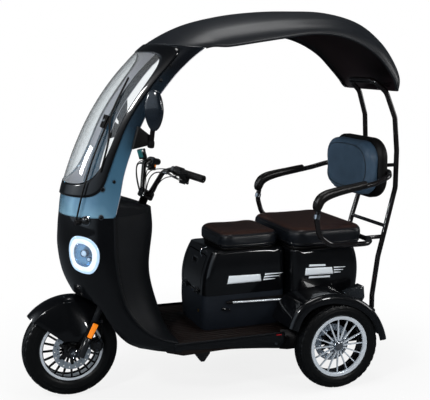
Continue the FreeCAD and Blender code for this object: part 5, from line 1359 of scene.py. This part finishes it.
class SCOOTER_OT_mirrors(bpy.types.Operator):
    """Mirrors: teardrop shell, glass, neck, pivot collar and the clip on the windscreen's frame"""
    bl_idname = "scooter.mirrors"
    bl_label = "Mirrors"

    def execute(self, context):
        for side, name in SIDES:
            middle = Vector((side * 0.275, *in_frame(0.2803, 0.7048)))
            shell = mirror_shell(side, middle, 0.0, 0.0, 0.80)
            new_piece("mirror_shell_" + name, shell, "mirror_shell", "root", ("mirrors",) if side > 0 else (),
                smooth=50)
            glass = mirror_shell(side, middle + Vector((-side * 0.0006, 0.0006, 0)), 0.006, 0.76, 0.80)
            new_piece("mirror_glass_" + name, glass, "mirror_glass", smooth=30)
            foot = Vector((side * 0.2505, *in_frame(0.2727, 0.5999)))
            top = middle + Vector((-side * 0.005, -0.004, -0.066))
            smooth_tube("mirror_neck_" + name, [
                foot, foot.lerp(top, 0.45) + Vector((side * 0.004, 0, 0)), top], 0.0105, "grained_pp_dark")
            axis = (top - foot).normalized()
            collar = turned([
                (-0.006, 0.0), (-0.006, 0.0125), (-0.003, 0.0150), (0.016, 0.0150), (0.019, 0.0135),
                (0.022, 0.0135),
                (0.024, 0.0118), (0.024, 0.0)], foot, axis, 32)
            new_piece("mirror_pivot_" + name, collar, "grained_pp_dark")
            self.clip(side, name)
        return {"FINISHED"}

    def clip(self, side, name):
        """The wedge between the frame's edge and the neck, with two screws."""
        outline = [(0.2030, 0.5917), (0.2803, 0.6047), (0.2803, 0.6258), (0.2269, 0.6600)]
        corners = [(side * 0.2235, *in_frame(reach, rise)) for reach, rise in outline]
        wedge = soft_edges(plate_form(corners, X_AXIS * side * 0.031), 0.006, 4)
        new_piece("mirror_clip_" + name, wedge, "grained_pp_dark")
        screws = bmesh.new()
        for reach, rise in ((0.232, 0.612), (0.236, 0.643)):
            join_forms(screws, domed_bolt(
                Vector((side * 0.2535, *in_frame(reach, rise))), X_AXIS * side, 0.004, 0.003))
        new_piece("mirror_clip_screws_" + name, screws, "black_oxide")


class SCOOTER_OT_controls(bpy.types.Operator):
    """Cables, switch pods and knobs, the bands on the bar and the indicator on the handlebar"""
    bl_idname = "scooter.controls"
    bl_label = "Controls"

    def execute(self, context):
        along = Vector((0.158, 0.087, -0.027)).normalized()
        for side, name in SIDES:
            def at(x, y, z):
                return Vector((side * x, y, z))

            smooth_tube("brake_cable_" + name, [
                at(0.196, -0.292, 1.030), at(0.160, -0.318, 1.036), at(0.120, -0.340, 1.014),
                at(0.080, -0.346, 0.966),
                at(0.048, -0.343, 0.922), at(0.032, -0.338, 0.886)], 0.0027, "cable_sheath", "steering")
            smooth_tube("switch_cable_" + name, [
                at(0.206, -0.232, 1.018), at(0.176, -0.252, 1.012), at(0.142, -0.282, 1.004),
                at(0.100, -0.300, 0.972),
                at(0.070, -0.306, 0.934), at(0.040, -0.322, 0.890)], 0.0022, "cable_sheath", "steering")
            smooth_tube("lamp_cable_" + name, [
                at(0.190, -0.276, 1.046), at(0.132, -0.330, 1.050), at(0.078, -0.354, 1.004),
                at(0.044, -0.354, 0.940),
                at(0.024, -0.342, 0.888)], 0.0022, "cable_sheath", "steering")
            ferrule = turned([
                (-0.004, 0.0), (-0.004, 0.0050), (0.010, 0.0050), (0.014, 0.0035), (0.016, 0.0)],
                at(0.196, -0.292, 1.030), Vector((-side * 0.72, -0.66, 0.2)), 16)
            new_piece("cable_ferrule_" + name, ferrule, "zinc_steel", "steering")
            aim = Vector((side * along.x, along.y, along.z))
            pod = tapered_bar(at(0.247, -0.222, 1.036), at(0.243, -0.226, 0.992), aim, (0.034, 0.028),
                (0.026, 0.022), 0.005)
            new_piece("switch_pod_" + name, pod, "grained_pp_dark", "steering")
            knob = turned([
                (0.0, 0.0), (0.0, 0.0065), (0.004, 0.0065), (0.006, 0.005), (0.006, 0.0)],
                at(0.243, -0.212, 1.008), Vector((0, 1, 0.1)), 20)
            new_piece("switch_knob_" + name, knob, "amber_lens" if side < 0 else "red_lens", "steering")
            for turn in range(2):
                ring = turned([
                    (-0.002, 0.0175), (-0.002, 0.0190), (0.002, 0.0190), (0.002, 0.0175), (-0.002, 0.0175)],
                    at(0.172, -0.258, 1.043) + aim * (0.02 + 0.03 * turn), aim, 32)
                new_piece("control_band_%s_%d" % (name, turn + 1), ring, "zinc_steel", "steering")
        case = tapered_bar(
            Vector((-0.196, -0.282, 1.050)), Vector((-0.200, -0.292, 1.098)), Vector((1, 0.35, 0)),
            (0.040, 0.024),
            (0.046, 0.022), 0.004)
        new_piece("indicator_case", case, "gloss_black_metal", "steering")
        glass = tapered_bar(
            Vector((-0.1905, -0.2905, 1.058)), Vector((-0.1945, -0.3005, 1.094)), Vector((1, 0.35, 0)),
            (0.032, 0.012),
            (0.038, 0.010), 0.003)
        new_piece("indicator_glass", glass, "teal_glass", "steering")
        post = tapered_bar(
            Vector((-0.188, -0.262, 1.036)), Vector((-0.196, -0.282, 1.056)), Vector((1, 0.35, 0)),
            (0.018, 0.016),
            (0.018, 0.014), 0.003)
        new_piece("indicator_post", post, "grained_pp_dark", "steering")
        return {"FINISHED"}


class SCOOTER_OT_tail(bpy.types.Operator):
    """Smoked tail lamps with their red faces, and the blank plate with its holder and lamp"""
    bl_idname = "scooter.tail"
    bl_label = "Tail lamps"

    def execute(self, context):
        dress_node("tail_lamps", "smoked_lens")
        for side, name in SIDES:
            low, top = Vector((side * 0.300, 0.6462, 0.417)), Vector((side * 0.300, 0.6412, 0.460))
            face = tapered_bar(low, top, X_AXIS, (0.040, 0.005), (0.042, 0.005), 0.002)
            new_piece("tail_face_" + name, face, "red_lens")
            ribs = bmesh.new()
            for step in range(5):
                share = (step + 0.5) / 5
                place = low.lerp(top, share) + Vector((0, 0.0024, 0))
                join_forms(ribs, tapered_bar(
                    place - Vector((0.017, 0, 0)), place + Vector((0.017, 0, 0)), Z_AXIS, (0.0035, 0.002),
                    soft=0.0006))
            new_piece("tail_ribs_" + name, ribs, "red_lens")
        lean = Vector((0, 0.0062, 0.120))
        foot = Vector((0, 0.6625, 0.335))
        holder = tapered_bar(foot, foot + lean, X_AXIS, (0.208, 0.006), soft=0.0022)
        new_piece("plate_holder", holder, "grained_pp_dark")
        out = Vector((0, 0.0040, 0))
        blank = tapered_bar(
            foot + lean * 0.04 + out, foot + lean * 0.96 + out, X_AXIS, (0.200, 0.002), soft=0.0006)
        new_piece("plate_blank", blank, "white_film")
        arms = bmesh.new()
        for across in (-0.06, 0.06):
            join_forms(arms, tapered_bar(
                Vector((across, 0.650, 0.395)), Vector((across, 0.6640, 0.395)), X_AXIS, (0.030, 0.050),
                (0.024, 0.040), 0.002))
        new_piece("plate_holder_arms", arms, "grained_pp_dark")
        screws = bmesh.new()
        for across in (-0.062, 0.062):
            join_forms(screws, domed_bolt(Vector((across, 0.6705, 0.435)), Vector((0, 1, -0.05)), 0.006,
                0.003))
        new_piece("plate_screws", screws, "zinc_steel")
        hood = tapered_bar(Vector((0, 0.658, 0.474)), Vector((0, 0.684, 0.466)), X_AXIS, (0.070, 0.016),
            (0.062, 0.010), 0.003)
        new_piece("plate_lamp", hood, "grained_pp_dark")
        glow = tapered_bar(Vector((0, 0.668, 0.4655)), Vector((0, 0.682, 0.4605)), X_AXIS, (0.050, 0.003),
            (0.046, 0.003), 0.001)
        new_piece("plate_lamp_lens", glow, "lamp_glass")
        return {"FINISHED"}


# The armrest pad from its rear end to its foot: middle line and half sizes (x, y, z, half width, height).
PAD_LINE = [
    (0.3315, 0.642, 0.9520, 0.0200, 0.0190), (0.3325, 0.600, 0.9455, 0.0205, 0.0200),
    (0.3335, 0.540, 0.9350, 0.0215, 0.0215),
    (0.3350, 0.480, 0.9245, 0.0225, 0.0235), (0.3365, 0.430, 0.9120, 0.0235, 0.0260),
    (0.3375, 0.398, 0.8940, 0.0240, 0.0270),
    (0.3378, 0.383, 0.8680, 0.0220, 0.0235), (0.3378, 0.380, 0.8400, 0.0185, 0.0185)]
# Corners of the tube's left half, flatter along the arm than in the CAD.
RAIL_CORNERS = [
    (0.0, 0.836, 0.984), (0.200, 0.836, 0.984), (0.306, 0.774, 0.978), (0.330, 0.686, 0.952),
    (0.334, 0.540, 0.927),
    (0.337, 0.396, 0.902), (0.338, 0.378, 0.800), (0.331, 0.398, 0.720), (0.314, 0.464, 0.676),
    (0.301, 0.592, 0.664),
    (0.298, 0.672, 0.662), (0.225, 0.728, 0.660), (0.0, 0.728, 0.660)]


def rounded_route(corners, bend):
    """The corners joined by straight stretches and smooth bends."""
    corners = [Vector(point) for point in corners]
    route = [corners[0]]
    for before, point, after in zip(corners, corners[1:], corners[2:]):
        back, ahead = before - point, after - point
        turn = math.pi - back.angle(ahead)
        reach = min(bend * math.tan(turn / 2), back.length * 0.46, ahead.length * 0.46)
        start, end = point + back.normalized() * reach, point + ahead.normalized() * reach
        route += [start.lerp(point, share).lerp(point.lerp(end, share), share) for share in (0, 0.25, 0.5,
            0.75, 1)]
    return route + [corners[-1]]


class SCOOTER_OT_arm_tube(bpy.types.Operator):
    """The bent tube of both armrests, with sleeves where the loops end"""
    bl_idname = "scooter.arm_tube"
    bl_label = "Armrest tube"

    def execute(self, context):
        left = rounded_route(RAIL_CORNERS, 0.075)
        right = [Vector((-point.x, point.y, point.z)) for point in left]
        tube = smooth_tube("arm_tube", right[:0:-1] + left, 0.0125, "powder_coat", resolution=3)
        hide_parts("seat_rail")
        for side, name in SIDES:
            foot = Vector((side * 0.3379, 0.3785, 0.806))
            ring = turned([
                (0.0, 0.0127), (0.0, 0.0150), (0.010, 0.0155), (0.020, 0.0150), (0.021, 0.0127),
                (0.0, 0.0127)],
                foot, Vector((-side * 0.001, 0.018, 0.102)), 32)
            new_piece("pad_sleeve_" + name, ring, "chrome")
        return {"FINISHED"}


def pad_form(side):
    """A foam pad over the arm's bend: square at the rear, fat and rounded in front."""
    def corner(u, v):
        place = v * (len(PAD_LINE) - 1)
        x, y, z, wide, high = smooth_between(PAD_LINE, place)
        ahead = smooth_between(PAD_LINE, min(place + 0.02, len(PAD_LINE) - 1.0001))
        behind = smooth_between(PAD_LINE, max(place - 0.02, 0.0))
        along = (Vector(ahead[:3]) - Vector(behind[:3])).normalized()
        up = X_AXIS.cross(along).normalized()
        if up.z < 0 and along.z > -0.9:
            up.negate()
        end = min(1.0, v / 0.035) if v < 0.5 else min(1.0, (1 - v) / 0.10)
        size = (1 - (1 - end) ** 2.2) ** (1 / 2.2) if end < 1 else 1.0
        turn = 2 * math.pi * u
        return Vector((side * (x + wide * size * math.cos(turn)), y, z)) + up * high * size * math.sin(turn)

    return shaped_grid(32, 60, corner, closed=True)


def swell(piece, cap):
    """Blow a closed form up as cloth under pressure, no point further than a cap, with its underside held."""
    mesh = piece.data
    start = [vert.co.copy() for vert in mesh.vertices]
    low = min(point.z for point in start)
    held = piece.vertex_groups.new(name="held")
    held.add([index for index, point in enumerate(start) if point.z < low + 0.006], 1.0, "REPLACE")
    cloth = piece.modifiers.new("Swell", "CLOTH")
    settings = cloth.settings
    settings.quality = 5
    settings.mass = 0.3
    settings.tension_stiffness = 15
    settings.compression_stiffness = 15
    settings.shear_stiffness = 5
    settings.bending_stiffness = 0.5
    settings.use_pressure = True
    settings.uniform_pressure_force = 4
    settings.vertex_group_mass = "held"
    settings.effector_weights.gravity = 0
    cloth.collision_settings.use_collision = False
    cloth.point_cache.frame_end = 20
    scene = bpy.context.scene
    for number in range(1, 21):
        scene.frame_set(number)
    apply_modifiers(piece)
    scene.frame_set(1)
    for vert, before in zip(piece.data.vertices, start):
        move = vert.co - before
        if move.length > cap:
            vert.co = before + move.normalized() * cap
    piece.vertex_groups.clear()


def surface_loop(piece, middle, directions, reach=0.6):
    """Points where rays from outside towards a middle meet the piece."""
    graph = bpy.context.evaluated_depsgraph_get()
    tree = BVHTree.FromObject(piece, graph)
    points = []
    for direction in directions:
        hit = tree.ray_cast(middle + direction * reach, -direction)[0]
        if hit is not None:
            points.append(hit)
    return points


# The photograph's backrest is this much wider than the CAD one.
BACK_SPREAD = 1.16
CUSHIONS = {
    # node: finish, voxel, shrink, cap, fill
    "front_seat": ("seat_vinyl", 0.006, 0.0025, 0.0032, 0.8),
    "rear_seat": ("seat_vinyl", 0.006, 0.0025, 0.0032, 0.8),
    "backrest": ("back_vinyl", 0.005, 0.003, 0.006, 0.85),
    "armrest_pads": ("foam_skin", 0.004, 0.0010, 0.002, 0.95),
}


class SCOOTER_OT_cushions(bpy.types.Operator):
    """Both seats, the backrest and the armrest pads as swollen foam, with the beads of their seams"""
    bl_idname = "scooter.cushions"
    bl_label = "Cushions"

    def execute(self, context):
        share = context.scene.scooter_sizes.cushion_swell
        for node, (material, voxel, shrink, cap, fill) in CUSHIONS.items():
            bm = join_forms(pad_form(-1), pad_form(1)) if node == "armrest_pads" else merged_copy(node)
            if node == "backrest":
                bmesh.ops.scale(bm, vec=Vector((BACK_SPREAD, 1, 1)), verts=bm.verts)
            bmesh.ops.recalc_face_normals(bm, faces=bm.faces)
            bm.normal_update()
            for vert in bm.verts:
                vert.co -= vert.normal * shrink
            piece = new_piece(node + "_foam", bm, material, "root", (node,), smooth=0)
            remesh = piece.modifiers.new("Even", "REMESH")
            remesh.mode = "VOXEL"
            remesh.voxel_size = voxel
            apply_modifiers(piece)
            swell(piece, cap * share)
            piece.data.polygons.foreach_set("use_smooth", [True] * len(piece.data.polygons))
            soften = piece.modifiers.new("Soften", "SMOOTH")
            soften.factor = 0.5
            soften.iterations = 12
            apply_modifiers(piece)
            add_subdivision(piece, 1)
            self.seams(node, piece)
        return {"FINISHED"}

    def seams(self, node, piece):
        """Piping round a seat's top and foot, or round the backrest's face."""
        low, high = (Vector(point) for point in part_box(node))
        middle = (low + high) / 2
        turns = [2 * math.pi * step / 72 for step in range(72)]
        if node.endswith("_seat"):
            around = [Vector((math.cos(turn), math.sin(turn), 0)) for turn in turns]
            for label, height in (("top", high.z - 0.021), ("foot", low.z + 0.016)):
                loop = surface_loop(piece, Vector((middle.x, middle.y, height)), around)
                smooth_tube("%s_piping_%s" % (node, label), loop, 0.0022, "seat_piping", resolution=3,
                    closed=True)
        elif node == "backrest":
            half_wide, half_high = (high.x - low.x) / 2 * BACK_SPREAD - 0.030, (high.z - low.z) / 2 - 0.030
            loop = []
            tree = BVHTree.FromObject(piece, bpy.context.evaluated_depsgraph_get())
            for turn in turns:
                across, up = squircle(turn, 3.2)
                start = Vector((half_wide * across, low.y - 0.2, middle.z + half_high * up))
                hit = tree.ray_cast(start, Y_AXIS)[0]
                if hit is not None:
                    loop.append(hit)
            smooth_tube("backrest_seam", loop, 0.0018, "seat_piping", resolution=3, closed=True)


DRESSED = {
    "inner_shield": "grained_pp", "column_lid": "grained_pp", "floorboard": "floor_pp",
    "front_body": "lacquered_abs", "lower_skirt": "skirt_pp", "side_strips": "grained_pp_dark",
    "rear_body": "lacquered_abs", "front_seat_pan": "grained_pp_dark", "rear_seat_pan": "grained_pp_dark",
    "roof_posts": "powder_coat", "roof_plate": "powder_coat", "rear_axle": "powder_coat",
    "shocks": "powder_coat",
    "rear_fenders": "lacquered_abs", "fork": "grey_paint", "front_axle": "zinc_steel",
    "front_fender": "lacquered_abs",
    "handlebar": "powder_coat", "grips": "grip_rubber", "switch_housings": "grained_pp_dark",
    "brake_levers": "gloss_black_metal", "wiper": "grained_pp_dark",
    "battery_pack": "grained_pp_dark", "battery_door": "lacquered_abs",
}


class SCOOTER_OT_dress(bpy.types.Operator):
    """Smooth copies of the CAD nodes whose own shape is right"""
    bl_idname = "scooter.dress"
    bl_label = "Carried-over nodes"

    def execute(self, context):
        for node, material in DRESSED.items():
            dress_node(node, material)
        outrigger_reach, outrigger_foot, beam_foot, liner_foot = 0.155, 0.214, 0.206, 0.252
        chassis = merged_copy("chassis")
        for vert in chassis.verts:
            # The outriggers under the floor end short of the fairing, and rise towards it.
            if abs(vert.co.x) > 0.2 and vert.co.y < 0.28 and vert.co.z < 0.229:
                vert.co.x = math.copysign(outrigger_reach, vert.co.x)
                vert.co.z = max(vert.co.z, outrigger_foot)
            if vert.co.y < -0.30:
                vert.co.z = max(vert.co.z, beam_foot)
        new_piece("chassis_shown", chassis, "powder_coat", "root", ("chassis",), 32)
        liner = merged_copy("arch_liner")
        for vert in liner.verts:
            vert.co.z = max(vert.co.z, liner_foot)
        new_piece("arch_liner_shown", liner, "grained_pp_dark", "root", ("arch_liner",), 32)
        shell = merged_copy("backrest_shell")
        bmesh.ops.scale(shell, vec=Vector((BACK_SPREAD, 1, 1)), verts=shell.verts)
        new_piece("backrest_shell_shown", shell, "grained_pp_dark", "root", ("backrest_shell",), 32)
        return {"FINISHED"}


CAMERA_PLACE = Vector((3.9583, -1.4838, 1.5591))
CAMERA_AZIMUTH, CAMERA_PITCH, CAMERA_LENS = 69.3024, 9.3404, 75.66


class SCOOTER_OT_stage(bpy.types.Operator):
    """Floor, background, lamps and the camera at the photograph's angle"""
    bl_idname = "scooter.stage"
    bl_label = "Stage"

    def execute(self, context):
        scene = context.scene
        scene.view_settings.view_transform = "Standard"
        floor = new_floor()
        make_world(scene)
        lamps = [
            ("key", (2.4, -2.8, 3.3), 0.55, 62), ("side", (3.4, 1.9, 2.3), 0.5, 30),
            ("front", (-0.9, -3.8, 2.2), 0.6, 40),
            ("top", (0.3, 0.3, 4.2), 1.6, 50), ("rear", (0.9, 4.2, 1.9), 1.5, 26)]
        for name, place, size, power in lamps:
            lamp = bpy.data.lights.new(name, "AREA")
            lamp.size = size
            lamp.energy = power
            holder = bpy.data.objects.new(name, lamp)
            scene.collection.objects.link(holder)
            holder.location = place
            holder.rotation_mode = "QUATERNION"
            holder.rotation_quaternion = (Vector((0, 0, 0.8)) - Vector(place)).to_track_quat("-Z", "Y")
        data = bpy.data.cameras.new("camera")
        data.lens = CAMERA_LENS
        data.sensor_width = 36.0
        camera = bpy.data.objects.new("camera", data)
        scene.collection.objects.link(camera)
        azimuth, pitch = math.radians(CAMERA_AZIMUTH), math.radians(CAMERA_PITCH)
        back = Vector((math.sin(azimuth) * math.cos(pitch), -math.cos(azimuth) * math.cos(pitch),
            math.sin(pitch)))
        camera.location = CAMERA_PLACE
        camera.rotation_mode = "QUATERNION"
        camera.rotation_quaternion = (-back).to_track_quat("-Z", "Y")
        scene.camera = camera
        return {"FINISHED"}


def new_floor():
    """A large pale floor that shows white to the camera and keeps the object's shadow."""
    bm = bmesh.new()
    bmesh.ops.create_grid(bm, x_segments=1, y_segments=1, size=30.0)
    mesh = bpy.data.meshes.new("floor")
    bm.to_mesh(mesh)
    bm.free()
    floor = bpy.data.objects.new("floor", mesh)
    floor.location.z = -0.0005
    bpy.context.scene.collection.objects.link(floor)
    material = new_material("studio_floor")
    rays = add_node(material, "ShaderNodeLightPath")
    # In gloss the floor is the dim grey of the hall, and to the camera it turns white away from the object.
    shade = add_node(material, "ShaderNodeMix", {
        "Factor": rays.outputs["Is Glossy Ray"], "A": linear_colour("#F2F2F2"),
        "B": linear_colour("#4E5358")},
        data_type="RGBA")
    diffuse = add_node(material, "ShaderNodeBsdfDiffuse", {"Color": shade.outputs["Result"]})
    white = add_node(material, "ShaderNodeEmission", {"Color": (1, 1, 1, 1), "Strength": 1.0})
    away = add_node(material, "ShaderNodeVectorMath", {
        0: add_node(material, "ShaderNodeTexCoord").outputs["Object"]}, operation="LENGTH")
    fade = add_node(material, "ShaderNodeMapRange", {
        "Value": away.outputs["Value"], "From Min": 0.8, "From Max": 1.9, "To Min": 0.84, "To Max": 1.0},
        interpolation_type="SMOOTHSTEP")
    seen = add_node(material, "ShaderNodeMath", {
        0: rays.outputs["Is Camera Ray"], 1: rays.outputs["Is Transmission Ray"]}, operation="MAXIMUM")
    share = add_node(material, "ShaderNodeMath", {
        0: seen.outputs["Value"], 1: fade.outputs["Result"]}, operation="MULTIPLY")
    mix = add_node(material, "ShaderNodeMixShader", {
        "Fac": share.outputs["Value"], 1: diffuse.outputs["BSDF"], 2: white.outputs["Emission"]})
    add_node(material, "ShaderNodeOutputMaterial", {"Surface": mix.outputs["Shader"]})
    mesh.materials.append(material)
    return floor


def make_world(scene):
    """Soft grey light all round, white behind the object, and a dark hall with a bright wall in its gloss."""
    world = bpy.data.worlds.new("studio")
    scene.world = world
    world.use_nodes = True
    tree = world.node_tree
    tree.nodes.clear()
    rays = add_node(world, "ShaderNodeLightPath")
    soft = add_node(world, "ShaderNodeBackground", {"Color": (1, 1, 1, 1), "Strength": 0.35})
    white = add_node(world, "ShaderNodeBackground", {"Color": (1, 1, 1, 1), "Strength": 1.0})
    direction = add_node(world, "ShaderNodeSeparateXYZ", {
        "Vector": add_node(world, "ShaderNodeTexCoord").outputs["Generated"]})
    front_wall = add_node(world, "ShaderNodeMapRange", {
        "Value": direction.outputs["Y"], "From Min": -0.55, "From Max": -0.9, "To Min": 0.035,
        "To Max": 0.75})
    hall = add_node(world, "ShaderNodeBackground", {
        "Color": linear_colour("#D9E8F8"), "Strength": front_wall.outputs["Result"]})
    seen = add_node(world, "ShaderNodeMath", {
        0: rays.outputs["Is Camera Ray"], 1: rays.outputs["Is Transmission Ray"]}, operation="MAXIMUM")
    gloss = add_node(world, "ShaderNodeMixShader", {
        "Fac": rays.outputs["Is Glossy Ray"], 1: soft.outputs["Background"], 2: hall.outputs["Background"]})
    mix = add_node(world, "ShaderNodeMixShader", {
        "Fac": seen.outputs["Value"], 1: gloss.outputs["Shader"], 2: white.outputs["Background"]})
    add_node(world, "ShaderNodeOutputWorld", {"Surface": mix.outputs["Shader"]})


class SCOOTER_PT_panel(bpy.types.Panel):
    """Shows the sizes, the colours and a button for each group of pieces"""
    bl_label = "Scooter"
    bl_idname = "SCOOTER_PT_panel"
    bl_space_type = "VIEW_3D"
    bl_region_type = "UI"
    bl_category = "Scooter"

    def draw(self, context):
        for name in ("wall", "trim_radius", "tread_depth", "cushion_swell"):
            self.layout.prop(context.scene.scooter_sizes, name)
        for name in ("body", "body_tone", "roof", "roof_tone"):
            self.layout.prop(context.scene.scooter_colours, name)
        for operator in OPERATORS:
            self.layout.operator(operator.bl_idname)


OPERATORS = [
    SCOOTER_OT_stage, SCOOTER_OT_apron, SCOOTER_OT_headlamps, SCOOTER_OT_windscreen, SCOOTER_OT_roof,
    SCOOTER_OT_fairing, SCOOTER_OT_screen_fittings, SCOOTER_OT_wheels, SCOOTER_OT_brakes,
    SCOOTER_OT_front_fittings,
    SCOOTER_OT_side_trim, SCOOTER_OT_mirrors, SCOOTER_OT_controls, SCOOTER_OT_tail, SCOOTER_OT_arm_tube,
    SCOOTER_OT_cushions, SCOOTER_OT_dress,
]
CLASSES = [ScooterSizes, ScooterColours, *OPERATORS, SCOOTER_PT_panel]


def register():
    for item in CLASSES:
        bpy.utils.register_class(item)
    bpy.types.Scene.scooter_sizes = bpy.props.PointerProperty(type=ScooterSizes)
    bpy.types.Scene.scooter_colours = bpy.props.PointerProperty(type=ScooterColours)


def unregister():
    del bpy.types.Scene.scooter_colours
    del bpy.types.Scene.scooter_sizes
    for item in reversed(CLASSES):
        bpy.utils.unregister_class(item)


def main():
    register()
    make_materials(bpy.context.scene.scooter_colours)
    for operator in OPERATORS:
        group, name = operator.bl_idname.split(".")
        getattr(getattr(bpy.ops, group), name)()


if __name__ == "__main__":
    main()
